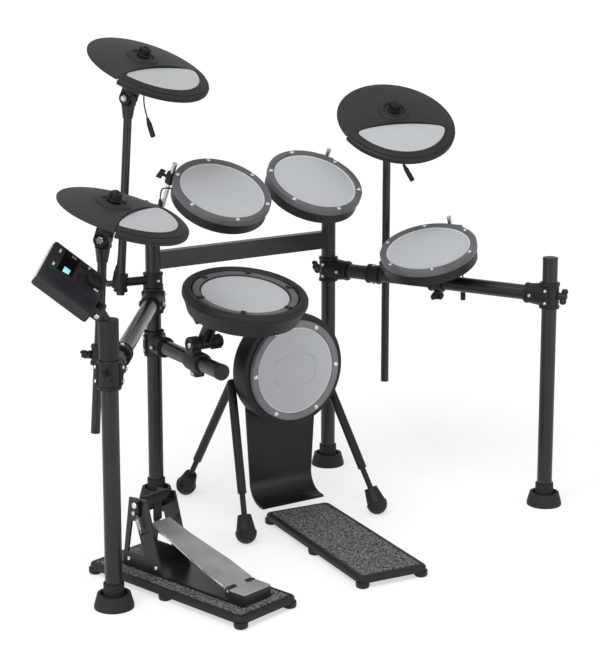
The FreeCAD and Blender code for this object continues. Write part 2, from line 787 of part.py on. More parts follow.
def boss(name, across, back, drop, length, wall_back, top):
    """Mount boss with its bore along X, and the web that ties it to a shell."""
    start = point(across - length / 2, back, -drop)
    body = measured_rod(name + "_barrel", "boss_radius", length, place(start, turn(Y_AXIS, 90)))
    web = measured_block(name + "_web", (length, 2 * v.boss_radius, drop + top),
                         point(across - length / 2, wall_back, -drop))
    bore = measured_rod(name + "_bore", "rod_radius + running_clearance", length + 2 * v.cut_overrun,
                        place(start - X_AXIS * v.cut_overrun, turn(Y_AXIS, 90)))
    return [body, web], bore


def rounded_wire(points, bend_radius):
    """Straight runs joined by tangent arcs; a bend with no radius takes its share of the shorter run."""
    edges = []
    last = points[0]
    for before, corner, after in zip(points, points[1:], points[2:]):
        way_in = (corner - before).normalize()
        way_out = (after - corner).normalize()
        half_turn = way_in.getAngle(way_out) / 2
        shorter = min((corner - before).Length, (after - corner).Length)
        radius = bend_radius or v.cord_bend_share * shorter / math.tan(half_turn)
        setback = radius * math.tan(half_turn)
        start = corner - way_in * setback
        end = corner + way_out * setback
        middle = corner + (way_out - way_in).normalize() * (radius / math.cos(half_turn) - radius)
        edges.append(Part.LineSegment(last, start).toShape())
        edges.append(Part.Arc(start, middle, end).toShape())
        last = end
    edges.append(Part.LineSegment(last, points[-1]).toShape())
    return Part.Wire(edges)


def bent_tube(name, points, radius, bend_radius=None):
    """Round bar or cable along rounded runs."""
    path = rounded_wire(points, bend_radius)
    section = Part.Wire([Part.Circle(points[0], points[1] - points[0], radius).toShape()])
    item = doc.addObject("Part::Feature", name)
    item.Shape = path.makePipeShell([section], True, False)
    return item


rod_circle = v.hoop_radius + v.rod_radius + v.rod_gap


def tom_pad(name, at, rod_angle):
    """Tom with a boss on its side for a rod that runs along the pad's own axis, outside the hoop."""
    low = -v.head_thickness - v.pad_depth
    high = -v.hoop_skirt - v.seat_gap
    spot = point(rod_circle, 0, low)
    barrel = measured_rod(name + "_barrel", "boss_radius", high - low, place(spot))
    web = measured_block(name + "_web", (rod_circle - v.pad_radius + v.pad_wall, v.boss_web, high - low),
                         point(v.pad_radius - v.pad_wall, -v.boss_web / 2, low))
    bolt = wing_bolt(name + "_bolt", spot + point(v.boss_radius - v.bolt_radius, 0, (high - low) / 2), X_AXIS)
    inside = rod(name + "_inside", "pad_radius - pad_wall", "pad_depth",
                 place(point(0, 0, low + v.pad_floor)))
    bore = measured_rod(name + "_bore", "rod_radius + running_clearance", high - low + 2 * v.cut_overrun,
                        place(spot - Z_AXIS * v.cut_overrun))
    swing = place(point(0, 0, 0), turn(Z_AXIS, rod_angle))
    adds = [moved(item, swing) for item in [barrel, web] + bolt]
    shell = cut(name + "_cup", join(name + "_cup_body", [pad_shell(name + "_cup_wall", "pad_depth")] + adds),
                [moved(bore, swing), inside])
    node(name + "_shell", [moved(shell, at)])
    node(name + "_hoop", [moved(pad_hoop(name + "_ring"), at)])
    node(name + "_head", [moved(pad_head(name + "_disc"), at)])


def rack_tom(name, side, reach, base):
    """Rack tom on an L-rod that turns in the barrel on top of its post."""
    across = math.sqrt(rod_circle ** 2 - v.rack_rod_back ** 2) * -side
    frame = turn(X_AXIS, v.rack_tom_tilt_angle)
    upright = frame.multVec(Z_AXIS)
    elbow = point(base.x + side * reach, 0, v.rod_level)
    at = place(elbow + upright * v.rack_rod_drop - frame.multVec(point(across, v.rack_rod_back, 0)), frame)
    tom_pad(name, at, math.degrees(math.atan2(v.rack_rod_back, across)))
    start = point(base.x - side * (v.barrel_half + v.rod_end), 0, v.rod_level)
    end = elbow + upright * (v.rack_rod_drop + v.rod_rise)
    node(name + "_rod", [bent_tube(name + "_l_rod", [start, elbow, end], v.rod_radius, v.rod_bend_radius)])
    return at


def rod_holder(name, base):
    """Cap on the post's upper end with a cross barrel for the L-rod and a wing bolt."""
    low = base + Z_AXIS * (v.rear_post_top - v.holder_skirt)
    level = base + Z_AXIS * v.rod_level
    cap = rod(name + "_cap", "holder_radius", "rod_level - rear_post_top + holder_skirt", place(low))
    barrel_start = level - X_AXIS * v.barrel_half
    barrel = rod(name + "_barrel", "barrel_radius", "2 * barrel_half", place(barrel_start, turn(Y_AXIS, 90)))
    bolt = wing_bolt(name + "_bolt", level + Y_AXIS * (v.barrel_radius - v.bolt_radius), Y_AXIS)
    post_room = rod(name + "_post_room", "tube_diameter / 2 + running_clearance", "holder_skirt", place(low))
    rod_start = level - X_AXIS * (v.holder_radius + v.cut_overrun)
    rod_room = rod(name + "_rod_room", "rod_radius + running_clearance",
                   "2 * holder_radius + 2 * cut_overrun", place(rod_start, turn(Y_AXIS, 90)))
    flat_sizes = (v.holder_radius, 2 * v.holder_radius, 2 * v.barrel_radius)
    flat_corner = level - point(0, v.holder_radius, v.barrel_radius)
    flats = [measured_block(name + "_flat_left", flat_sizes,
                            flat_corner - X_AXIS * (v.barrel_half + v.holder_radius)),
             measured_block(name + "_flat_right", flat_sizes, flat_corner + X_AXIS * v.barrel_half)]
    return cut(name, join(name + "_body", [cap, barrel] + bolt), [post_room, rod_room] + flats)


tom1_at = rack_tom("tom1", 1, v.left_rod_reach, left_rear)
tom2_at = rack_tom("tom2", -1, v.right_rod_reach, right_rear)
node("rear_clamps", [
    pole_clamp("crash_jaws", left_rear + Z_AXIS * v.crash_clamp_level, Z_AXIS, crash_spot, crash_way),
    rod_holder("left_rod_holder", left_rear), rod_holder("right_rod_holder", right_rear)])

# The floor tom sits over the right arm on an L-rod that turns in a barrel across the arm.
floor_frame = turn(Z_AXIS, v.right_arm_angle).multiply(turn(X_AXIS, v.floor_tom_tilt_angle))
floor_spot = right_rear + right_way * v.floor_tom_along + right_side * v.floor_tom_offset
tom3_at = place(floor_spot + Z_AXIS * v.floor_tom_level, floor_frame)
tom_pad("tom3", tom3_at, 90)
floor_upright = floor_frame.multVec(Z_AXIS)
floor_top = tom3_at.multVec(point(0, rod_circle, v.rod_rise))
leg_level = v.right_arm_level + v.clamp_radius + v.barrel_radius
floor_elbow = floor_top - floor_upright * ((floor_top.z - leg_level) / floor_upright.z)
floor_tube_spot = right_rear + right_way * v.floor_tom_along + Z_AXIS * v.right_arm_level
floor_barrel_spot = floor_tube_spot + Z_AXIS * (leg_level - v.right_arm_level)
floor_leg_end = floor_barrel_spot - right_side * (v.barrel_half + v.rod_end)
floor_rod_points = [floor_leg_end, floor_elbow, floor_top]
node("tom3_rod", [bent_tube("tom3_l_rod", floor_rod_points, v.rod_radius, v.rod_bend_radius)])

jaw_start = floor_tube_spot - right_way * (v.floor_clamp_length / 2)
floor_jaw = rod("tom3_jaw", "clamp_radius", "floor_clamp_length", aim(jaw_start, right_way))
floor_barrel = rod("tom3_barrel_grip", "barrel_radius", "2 * barrel_half",
                   aim(floor_barrel_spot - right_side * v.barrel_half, right_side))
floor_neck = rod("tom3_neck", "barrel_half", "clamp_radius + barrel_radius", place(floor_tube_spot))
floor_bolt_spot = floor_tube_spot - Z_AXIS * (v.clamp_radius - v.bolt_radius)
floor_bolt = wing_bolt("tom3_jaw_bolt", floor_bolt_spot, Z_AXIS * -1)
floor_clamp_body = join("tom3_clamp_body", [floor_jaw, floor_barrel, floor_neck] + floor_bolt)
floor_clamp = cut("tom3_clamp", floor_clamp_body, [
    rod("tom3_tube_bore", "tube_diameter / 2 + running_clearance", "floor_clamp_length + 2 * cut_overrun",
        aim(jaw_start - right_way * v.cut_overrun, right_way)),
    rod("tom3_leg_bore", "rod_radius + running_clearance", "2 * barrel_half + 2 * cut_overrun",
        aim(floor_barrel_spot - right_side * (v.barrel_half + v.cut_overrun), right_side))])
node("right_clamps", [
    tee_clamp("right_swivel", right_rear, v.right_arm_level, right_way),
    tee_clamp("right_tee", right_front, v.right_arm_level, right_way * -1),
    pole_clamp("ride_jaws", ride_tube_spot, right_way, ride_spot, ride_way), floor_clamp])

# The snare hangs on a level arm that swivels about the left rear post.
snare_way = Y_AXIS * -1
snare_tee = tee_clamp("snare_tee", left_rear, v.snare_arm_level, snare_way)
snare_start = left_rear + Z_AXIS * v.snare_arm_level + snare_way * v.clamp_seat
snare_tube = rod("snare_tube", "tube_diameter / 2", "snare_arm_length - clamp_seat",
                 aim(snare_start, snare_way))
snare_bore = rod("snare_tube_bore", "tube_diameter / 2 - tube_wall",
                 "snare_arm_length - clamp_seat - end_cap_length", aim(snare_start, snare_way))
snare_carrier = join("snare_carrier", [snare_tee, cut("snare_arm_tube", snare_tube, [snare_bore])])

snare_frame = turn(X_AXIS, v.snare_tilt_angle)
snare_at = place(point(v.snare_x, v.snare_y, v.snare_level), snare_frame)
snare_cup = spun("snare_cup", [
    ("0", "-head_thickness - snare_depth"), ("snare_radius - snare_taper", "-head_thickness - snare_depth"),
    ("snare_radius", "snare_rise - snare_lip_height"), ("snare_lip_radius", "snare_rise - snare_lip_height"),
    ("snare_lip_radius", "snare_rise"), ("snare_inner_radius", "snare_rise"),
    ("snare_inner_radius", "-hoop_skirt"), ("pad_radius", "-hoop_skirt"), ("pad_radius", "-head_thickness"),
    ("pad_radius - pad_wall", "-head_thickness"),
    ("pad_radius - pad_wall", "-head_thickness - snare_depth + snare_floor"),
    ("0", "-head_thickness - snare_depth + snare_floor")])
snare_across = left_rear.x - v.snare_x
snare_adds, snare_boss_bore = boss("snare_boss", snare_across, v.snare_boss_back, v.snare_boss_drop,
                                   v.snare_boss_length, v.snare_boss_back - v.boss_radius,
                                   -v.head_thickness - v.snare_depth)
snare_body = cut("snare_body", join("snare_body_all", [snare_cup] + snare_adds), [snare_boss_bore])
node("snare_shell", [moved(snare_body, snare_at)])
node("snare_hoop", [moved(pad_hoop("snare_ring"), snare_at)])
node("snare_head", [moved(pad_head("snare_disc"), snare_at)])

# Its holder grips the arm and carries the pin between two cheeks.
snare_hinge = snare_at.multVec(point(snare_across, v.snare_boss_back, -v.snare_boss_drop))
grip_spot = point(left_rear.x, snare_hinge.y, v.snare_arm_level)
snare_jaw = rod("snare_jaw", "clamp_radius", "snare_holder_width",
                aim(grip_spot - snare_way * (v.snare_holder_width / 2), snare_way))
half_gap = v.snare_boss_length / 2 + v.seat_gap
cheek_height = snare_hinge.z + v.boss_radius - grip_spot.z
cheeks = []
for side in (-1, 1):
    low_x = grip_spot.x + side * (half_gap + v.snare_cheek / 2) - v.snare_cheek / 2
    cheeks.append(measured_block(f"snare_cheek_{side + 1}", (v.snare_cheek, 2 * v.boss_radius, cheek_height),
                                 point(low_x, grip_spot.y - v.boss_radius, grip_spot.z)))
saddle_half = half_gap + v.snare_cheek
saddle_height = snare_hinge.z - 2 * v.boss_radius - grip_spot.z
saddle = measured_block("snare_saddle", (2 * saddle_half, 2 * v.boss_radius, saddle_height),
                        grip_spot - point(saddle_half, v.boss_radius, 0))
snare_pin = measured_rod("snare_pin", "rod_radius", 2 * saddle_half,
                         place(snare_hinge - X_AXIS * saddle_half, turn(Y_AXIS, 90)))
snare_bolt = wing_bolt("snare_bolt", grip_spot - X_AXIS * (v.clamp_radius - v.bolt_radius), X_AXIS * -1)
holder_body = join("snare_clamp_body", [snare_jaw, saddle, snare_pin] + cheeks + snare_bolt)
snare_holder = cut("snare_clamp", holder_body, [
    rod("snare_jaw_bore", "tube_diameter / 2 + running_clearance", "snare_holder_width + 2 * cut_overrun",
        aim(grip_spot - snare_way * (v.snare_holder_width / 2 + v.cut_overrun), snare_way))])
node("snare_arm", [snare_carrier, snare_holder])

# The kick pad faces the player on a bent plate with four telescopic legs.
kick_at = place(point(v.kick_x, v.kick_y, v.kick_level), turn(X_AXIS, 90))
kick_cup = spun("kick_cup", [
    ("0", "-head_thickness - kick_depth"),
    ("kick_barrel_radius - kick_barrel_bevel", "-head_thickness - kick_depth"),
    ("kick_barrel_radius", "-head_thickness - kick_depth + kick_barrel_bevel"),
    ("kick_barrel_radius", "-kick_barrel_set"), ("hoop_radius + seat_gap", "-kick_barrel_set"),
    ("hoop_radius + seat_gap", "-hoop_skirt - seat_gap"), ("pad_radius", "-hoop_skirt - seat_gap"),
    ("pad_radius", "-head_thickness"), ("pad_radius - pad_wall", "-head_thickness"),
    ("pad_radius - pad_wall", "-head_thickness - kick_depth + pad_floor"),
    ("0", "-head_thickness - kick_depth + pad_floor")])
node("kick_shell", [moved(kick_cup, kick_at)])
node("kick_hoop", [moved(pad_hoop("kick_ring"), kick_at)])
node("kick_head", [moved(pad_head("kick_disc"), kick_at)])

plate_face = v.kick_y + v.head_thickness + v.kick_depth
plate = slab("kick_plate", [
    ("-kick_plate_low_half", "kick_plate_bend"), ("kick_plate_low_half", "kick_plate_bend"),
    ("kick_plate_top_half", "kick_level"), ("kick_plate_tip_half", "kick_plate_top"),
    ("-kick_plate_tip_half", "kick_plate_top"), ("-kick_plate_top_half", "kick_level")],
    "kick_plate_thickness", "XZ_Plane")
moved(plate, place(point(v.kick_x, plate_face + v.kick_plate_thickness, 0)))
bend_centre = point(v.kick_x - v.kick_plate_low_half, plate_face - v.kick_bend_radius, v.kick_plate_bend)
bend_outer = rod("kick_bend_outer", "kick_bend_radius + kick_plate_thickness", "2 * kick_plate_low_half",
                 place(bend_centre, turn(Y_AXIS, 90)))
bend_inner = rod("kick_bend_inner", "kick_bend_radius", "2 * kick_plate_low_half",
                 place(bend_centre, turn(Y_AXIS, 90)))
bend_reach = v.kick_bend_radius + v.kick_plate_thickness
bend_room = measured_block("kick_bend_room", (2 * v.kick_plate_low_half, bend_reach, bend_reach),
                           bend_centre - Z_AXIS * bend_reach)
bend = shared("kick_bend", cut("kick_bend_pipe", bend_outer, [bend_inner]), bend_room)
flange = block("kick_flange", ("2 * kick_plate_low_half", "kick_flange_depth", "kick_plate_thickness"),
               bend_centre - Z_AXIS * bend_reach - Y_AXIS * v.kick_flange_depth)
bar_y = plate_face + v.kick_plate_thickness + v.leg_tube_radius - v.running_clearance
kick_bar = rod("kick_bar", "leg_tube_radius", "2 * kick_bar_half",
               place(point(v.kick_x - v.kick_bar_half, bar_y, v.kick_bar_level), turn(Y_AXIS, 90)))
stand_parts = [plate, bend, flange, kick_bar]
stand_bores = []
for leg, side, half, ball_y in (("front_left", -1, v.front_leg_half, v.front_leg_y),
                                ("front_right", 1, v.front_leg_half, v.front_leg_y),
                                ("rear_left", -1, v.rear_leg_half, v.rear_leg_y),
                                ("rear_right", 1, v.rear_leg_half, v.rear_leg_y)):
    leg_top = point(v.kick_x + side * v.kick_bar_half, bar_y, v.kick_bar_level)
    leg_ball = point(v.kick_x + side * half, ball_y, v.leg_ball_radius)
    leg_way = (leg_ball - leg_top).normalize()
    full = (leg_ball - leg_top).Length
    tube_end = full * v.leg_tube_share
    stand_parts.append(measured_rod(f"leg_tube_{leg}", "leg_tube_radius", tube_end, aim(leg_top, leg_way)))
    stand_parts.append(ball(f"leg_knee_{leg}", "leg_tube_radius", leg_top))
    socket_start = leg_top + leg_way * (tube_end - v.leg_socket)
    stand_bores.append(rod(f"leg_socket_{leg}", "leg_rod_radius + running_clearance",
                           "leg_socket + cut_overrun", aim(socket_start, leg_way)))
    rod_from = leg_top + leg_way * (tube_end - v.leg_insert)
    leg_shaft = measured_rod(f"leg_shaft_{leg}", "leg_rod_radius", full - tube_end + v.leg_insert,
                             aim(rod_from, leg_way))
    cup = rod(f"leg_cup_{leg}", "leg_cup_radius", "leg_cup_length",
              aim(leg_ball - leg_way * (v.leg_cup_length + v.leg_cup_sink), leg_way))
    foot_ball = ball(f"leg_ball_{leg}", "leg_ball_radius", leg_ball)
    node("kick_leg_" + leg, [join(f"leg_rod_{leg}", [leg_shaft, cup, foot_ball])])
node("kick_stand", [cut("kick_weldment", join("kick_weldment_body", stand_parts), stand_bores)])


def tray(name, at):
    """Shallow tray on six rubber feet, with a recess for its mat."""
    half_length = v.tray_length / 2
    half_width = v.tray_width / 2
    frame = block(name + "_frame", ("tray_width", "tray_length", "tray_height"),
                  point(-half_width, -half_length, v.tray_foot_height))
    recess = block(name + "_recess",
                   ("tray_width - 2 * tray_border", "tray_length - 2 * tray_border", "tray_recess"),
                   point(v.tray_border - half_width, v.tray_border - half_length,
                         v.tray_foot_height + v.tray_height - v.tray_recess))
    feet = []
    for side in (-1, 1):
        for step in (-1, 0, 1):
            spot = point(side * (half_width - v.tray_border), step * (half_length - v.tray_border), 0)
            feet.append(rod(f"{name}_foot_{side + 1}_{step + 1}", "tray_foot_radius", "tray_foot_height",
                            place(spot)))
    return moved(cut(name, join(name + "_body", [frame] + feet), [recess]), at)


def mat(name, at):
    """Carpet mat lying in the tray's recess."""
    inset = v.tray_border + v.seat_gap
    corner = point(inset - v.tray_width / 2, inset - v.tray_length / 2,
                   v.tray_foot_height + v.tray_height - v.tray_recess)
    item = block(name, ("tray_width - 2 * tray_border - 2 * seat_gap",
                        "tray_length - 2 * tray_border - 2 * seat_gap", "mat_thickness"), corner)
    return moved(item, at)


kick_tray_at = place(point(v.kick_tray_x, v.kick_tray_y, 0), turn(Z_AXIS, v.kick_tray_angle))
pedal_spot = left_front + left_way * v.pedal_tray_along + left_side * v.pedal_tray_aside
pedal_at = place(pedal_spot, turn(Z_AXIS, v.pedal_tray_angle))
node("floor_trays", [tray("kick_tray", kick_tray_at), tray("pedal_tray", pedal_at)])
node("tray_mats", [mat("kick_mat", kick_tray_at), mat("pedal_mat", pedal_at)])

# The hi-hat pedal: a base with a heel plate, and two uprights that carry a drum on its axle.
mat_top = v.tray_foot_height + v.tray_height - v.tray_recess + v.mat_thickness
base_plate = measured_block("pedal_base", (v.pedal_base_width, v.pedal_base_back - v.pedal_base_front,
                                           v.pedal_base_thickness),
                            point(-v.pedal_base_width / 2, v.pedal_base_front, mat_top))
knuckle_room = v.heel_knuckle_radius + v.seat_gap
heel_height = v.heel_hinge_z + v.board_thickness / 2 - mat_top
heel_block = measured_block("pedal_heel", (2 * v.board_heel_half, v.heel_length, heel_height),
                            point(-v.board_heel_half, v.heel_hinge_y - knuckle_room - v.heel_length, mat_top))
heel_lugs = []
for side in (-1, 1):
    lug_x = side * (v.board_heel_half - v.heel_knuckle_length / 2) - v.heel_knuckle_length / 2
    lug_sizes = (v.heel_knuckle_length, knuckle_room + v.heel_knuckle_radius, 2 * v.heel_knuckle_radius)
    lug_corner = point(lug_x, v.heel_hinge_y - knuckle_room, v.heel_hinge_z - 2 * v.heel_knuckle_radius)
    lug_bar = measured_block(f"pedal_lug_{side + 1}", lug_sizes, lug_corner)
    heel_lugs += [lug_bar, rod(f"pedal_lug_round_{side + 1}", "heel_knuckle_radius", "heel_knuckle_length",
                               place(point(lug_x, v.heel_hinge_y, v.heel_hinge_z), turn(Y_AXIS, 90)))]
heel_pin_bore = measured_rod("pedal_pin_bore", "heel_pin_radius + running_clearance",
                             2 * v.board_heel_half + 2 * v.cut_overrun,
                             place(point(-v.board_heel_half - v.cut_overrun, v.heel_hinge_y, v.heel_hinge_z),
                                   turn(Y_AXIS, 90)))
uprights = []
for side in (-1, 1):
    wall = slab(f"pedal_upright_{side + 1}", [
        ("upright_front_low", "upright_low"), ("upright_back_low", "upright_low"),
        ("upright_back_high", "upright_back_top"), ("upright_front_high", "upright_top")],
        "upright_thickness", "YZ_Plane")
    window = slab(f"pedal_window_{side + 1}", [
        ("window_front_low", "window_low"), ("window_back_low", "window_low"),
        ("window_back_high", "window_high"), ("window_front_high", "window_high")],
        "upright_thickness", "YZ_Plane")
    plate_x = side * (v.upright_half - v.upright_thickness / 2) - v.upright_thickness / 2
    uprights.append(moved(cut(f"pedal_side_{side + 1}", wall, [window]), place(point(plate_x, 0, 0))))
spacer = rod("pedal_spacer", "spacer_radius", "2 * upright_half",
             place(point(-v.upright_half, v.spacer_y, v.spacer_level), turn(Y_AXIS, 90)))
spring_peg = rod("pedal_spring_peg", "spring_pin_radius", "spring_pin_length + upright_thickness",
                 place(point(-v.upright_half - v.spring_pin_length, v.spring_peg_y, v.spring_peg_level),
                       turn(Y_AXIS, 90)))
axle_spot = point(0, v.axle_y, v.axle_level)
axle_bore = rod("pedal_axle_bore", "axle_radius + running_clearance", "2 * upright_half + 2 * cut_overrun",
                place(axle_spot - X_AXIS * (v.upright_half + v.cut_overrun), turn(Y_AXIS, 90)))
frame_body = join("pedal_frame_body", [base_plate, heel_block, spacer, spring_peg] + heel_lugs + uprights)
node("pedal_frame", [moved(cut("pedal_base_frame", frame_body, [heel_pin_bore, axle_bore]), pedal_at)])

# The axle turns in the uprights; its drum winds the strap of the toe, and its arm stretches the spring.
axle_end = -v.upright_half - v.cheek_gap - v.spring_arm_thickness
axle_shaft = rod("pedal_axle_shaft", "axle_radius", "2 * upright_half + cheek_gap + spring_arm_thickness",
                 place(axle_spot + X_AXIS * axle_end, turn(Y_AXIS, 90)))
axle_head = rod("pedal_axle_head", "axle_head_radius", "axle_head_height",
                place(axle_spot + X_AXIS * (axle_end - v.axle_head_height), turn(Y_AXIS, 90)))
drum = rod("pedal_drum", "drum_radius", "2 * drum_half",
           place(axle_spot - X_AXIS * v.drum_half, turn(Y_AXIS, 90)))
strap = block("pedal_strap", ("2 * strap_half", "strap_thickness", "axle_level - strap_low"),
              point(-v.strap_half, v.axle_y - v.drum_radius, v.strap_low))
spring_arm = block("pedal_spring_arm", ("spring_arm_thickness", "2 * spring_arm_half",
                                        "spring_arm_drop + spring_arm_half"),
                   axle_spot + point(axle_end, -v.spring_arm_half, -v.spring_arm_drop - v.spring_arm_half))
spring_pin_spot = axle_spot + point(v.spring_axis_x, 0, -v.spring_arm_drop)
spring_pin = rod("pedal_spring_pin", "spring_pin_radius", "spring_pin_length - cheek_gap",
                 place(point(-v.upright_half - v.spring_pin_length, spring_pin_spot.y, spring_pin_spot.z),
                       turn(Y_AXIS, 90)))
axle_parts = [axle_shaft, axle_head, drum, strap, spring_arm, spring_pin]
node("pedal_axle", [moved(join("pedal_axle_drum", axle_parts), pedal_at)])

board = slab("pedal_board", [
    ("-board_heel_half", "heel_knuckle_radius"), ("board_heel_half", "heel_knuckle_radius"),
    ("board_heel_half", "board_widest"), ("board_toe_half", "board_narrowest"),
    ("board_toe_half", "board_length"), ("-board_toe_half", "board_length"),
    ("-board_toe_half", "board_narrowest"), ("-board_heel_half", "board_widest")], "board_thickness")
inner_half = v.board_heel_half - v.heel_knuckle_length - v.seat_gap
knuckle = measured_rod("pedal_knuckle", "heel_knuckle_radius", 2 * inner_half,
                       place(point(-inner_half, 0, 0), turn(Y_AXIS, 90)))
knuckle_arm = measured_block("pedal_knuckle_arm",
                             (2 * inner_half, 2 * v.heel_knuckle_radius, v.board_thickness),
                             point(-inner_half, 0, 0))
heel_pin = rod("pedal_pin", "heel_pin_radius", "2 * board_heel_half",
               place(point(-v.board_heel_half, 0, 0), turn(Y_AXIS, 90)))
trim_sizes = (2 * v.board_heel_half, 2 * v.heel_knuckle_radius + v.seat_gap, 2 * v.board_thickness)
trim_x = inner_half + v.seat_gap / 2
board_trims = [
    measured_block("pedal_board_trim_right", trim_sizes,
                   point(trim_x, -v.heel_knuckle_radius, -v.board_thickness / 2)),
    measured_block("pedal_board_trim_left", trim_sizes,
                   point(-trim_x - 2 * v.board_heel_half, -v.heel_knuckle_radius, -v.board_thickness / 2))]
tread = cut("pedal_tread", join("pedal_tread_body", [board, knuckle, knuckle_arm]), board_trims)
footboard = join("pedal_footboard", [tread, heel_pin])
board_at = place(point(0, v.heel_hinge_y, v.heel_hinge_z), turn(X_AXIS, v.board_angle))
node("footboard", [moved(footboard, pedal_at.multiply(board_at))])


def bend(start, corner, end):
    """Arc that runs from one leg of an even corner to the other."""
    half_turn = (corner - start).getAngle(end - corner) / 2
    middle = (start + end) / 2
    rise_share = math.cos(half_turn) / (1 + math.cos(half_turn))
    return Part.Arc(start, middle + (corner - middle) * rise_share, end).toShape()


def biarc(start, start_way, end, end_way):
    """Two arcs that leave one point along a direction and reach another along a second one."""
    run = end - start
    ways = start_way + end_way
    spread = 2 * (1 - start_way.dot(end_way))
    lead_in = run.dot(ways)
    reach = (math.sqrt(lead_in ** 2 + spread * run.dot(run)) - lead_in) / spread
    first = start + start_way * reach
    second = end - end_way * reach
    meeting = (first + second) / 2
    return [bend(start, first, meeting), bend(meeting, second, end)]


def coil_spring(name, low, high, turns):
    """Steel pull spring: one unbroken helical wire with a straight leg on its axis at each end."""
    length = (high - low).Length
    half_turns = int(2 * turns)
    coil_low = v.spring_leg + v.spring_entry
    half_pitch = (length - 2 * coil_low) / half_turns
    spots = [point(0, 0, 0), point(0, 0, v.spring_leg)]
    ways = [Z_AXIS, Z_AXIS]
    for step in range(half_turns + 1):
        side = (-1) ** step
        spots.append(point(side * v.spring_radius, 0, coil_low + step * half_pitch))
        ways.append(point(0, side * math.pi * v.spring_radius, half_pitch).normalize())
    spots += [point(0, 0, length - v.spring_leg), point(0, 0, length)]
    ways += [Z_AXIS, Z_AXIS]
    edges = [Part.LineSegment(spots[0], spots[1]).toShape()]
    for index in range(1, len(spots) - 2):
        edges += biarc(spots[index], ways[index], spots[index + 1], ways[index + 1])
    edges.append(Part.LineSegment(spots[-2], spots[-1]).toShape())
    path = Part.Wire(edges)
    section = Part.Wire([Part.Circle(spots[0], Z_AXIS, v.spring_wire / 2).toShape()])
    item = doc.addObject("Part::Feature", name)
    item.Shape = path.makePipeShell([section], True, False)
    item.Placement = aim(low, high - low)
    samples = path.discretize(Distance=v.spring_wire / 2)
    apart = math.ceil(math.pi * v.spring_radius / (v.spring_wire / 2))
    least = min(first.distanceToPoint(second) for index, first in enumerate(samples)
                for second in samples[index + apart:])
    print("spring least gap", round(least - v.spring_wire, 3), "length of wire", round(path.Length, 1))
    return item


peg_spot = point(v.spring_axis_x, v.spring_peg_y, v.spring_peg_level)
spring_seat = (spring_pin_spot - peg_spot).normalize() * (v.spring_pin_radius + v.seat_gap)
node("pedal_spring", [moved(coil_spring("pedal_coil", peg_spot + spring_seat, spring_pin_spot - spring_seat,
                                        v.spring_turns_count), pedal_at)])

# The sound module leans towards the player on a bracket over the left front post.
module_frame = turn(Z_AXIS, v.module_heading_angle).multiply(turn(Y_AXIS, v.module_tilt_angle))
module_frame = module_frame.multiply(turn(Z_AXIS, v.module_roll_angle))
module_spot = left_front + left_way * v.module_along + left_side * v.module_aside
module_at = place(module_spot + Z_AXIS * v.module_level, module_frame)
case = slab("module_case_block", [
    ("-module_height / 2 + module_chamfer", "-module_width / 2"),
    ("module_height / 2 - module_chamfer", "-module_width / 2"),
    ("module_height / 2", "-module_width / 2 + module_chamfer"),
    ("module_height / 2", "module_width / 2 - module_chamfer"),
    ("module_height / 2 - module_chamfer", "module_width / 2"),
    ("-module_height / 2 + module_chamfer", "module_width / 2"),
    ("-module_height / 2", "module_width / 2 - module_chamfer"),
    ("-module_height / 2", "-module_width / 2 + module_chamfer")], "module_depth")
moved(case, place(point(0, 0, -v.module_depth)))

# Its eye sits square to the post, so the neck runs straight from the sleeve to the hinge.
hinge_way = module_frame.multVec(Y_AXIS)
neck_foot = left_front + Z_AXIS * (v.sleeve_top - v.module_neck)
eye_middle = module_at.multVec(point(v.module_height / 2 + v.module_eye_drop, 0, -v.module_depth / 2))
eye_shift = (neck_foot - eye_middle).dot(hinge_way)
module_hinge = eye_middle + hinge_way * eye_shift
eye_start = module_hinge - hinge_way * (v.module_eye_width / 2)
eye = rod("module_eye", "module_eye_radius", "module_eye_width", aim(eye_start, hinge_way))
eye_bore = rod("module_eye_bore", "bolt_radius + running_clearance", "module_eye_width + 2 * cut_overrun",
               aim(eye_start - hinge_way * v.cut_overrun, hinge_way))
neck_run = module_hinge - neck_foot
neck = measured_block("module_neck_block", (v.module_eye_width, v.module_neck, neck_run.Length),
                      point(-v.module_eye_width / 2, -v.module_neck / 2, 0))
moved(neck, place(neck_foot, FreeCAD.Rotation(hinge_way, neck_run.cross(hinge_way), neck_run, "ZXY")))
sleeve_low = v.left_arm_level + v.clamp_height / 2 + v.seat_gap
sleeve = rod("module_sleeve", "sleeve_radius", "sleeve_top - left_arm_level - clamp_height / 2 - seat_gap",
             place(left_front + Z_AXIS * sleeve_low))
sleeve_bore = rod("module_sleeve_bore", "tube_diameter / 2 + running_clearance",
                  "left_post_top - left_arm_level - clamp_height / 2 - seat_gap",
                  place(left_front + Z_AXIS * sleeve_low))
bracket = cut("module_bracket", join("module_bracket_body", [eye, neck, sleeve]), [eye_bore, sleeve_bore])
node("left_clamps", [
    tee_clamp("left_swivel", left_rear, v.left_arm_level, left_way),
    tee_clamp("left_tee", left_front, v.left_arm_level, left_way * -1),
    pole_clamp("hihat_jaws", hihat_tube_spot, left_way, hihat_spot, hihat_way), bracket])

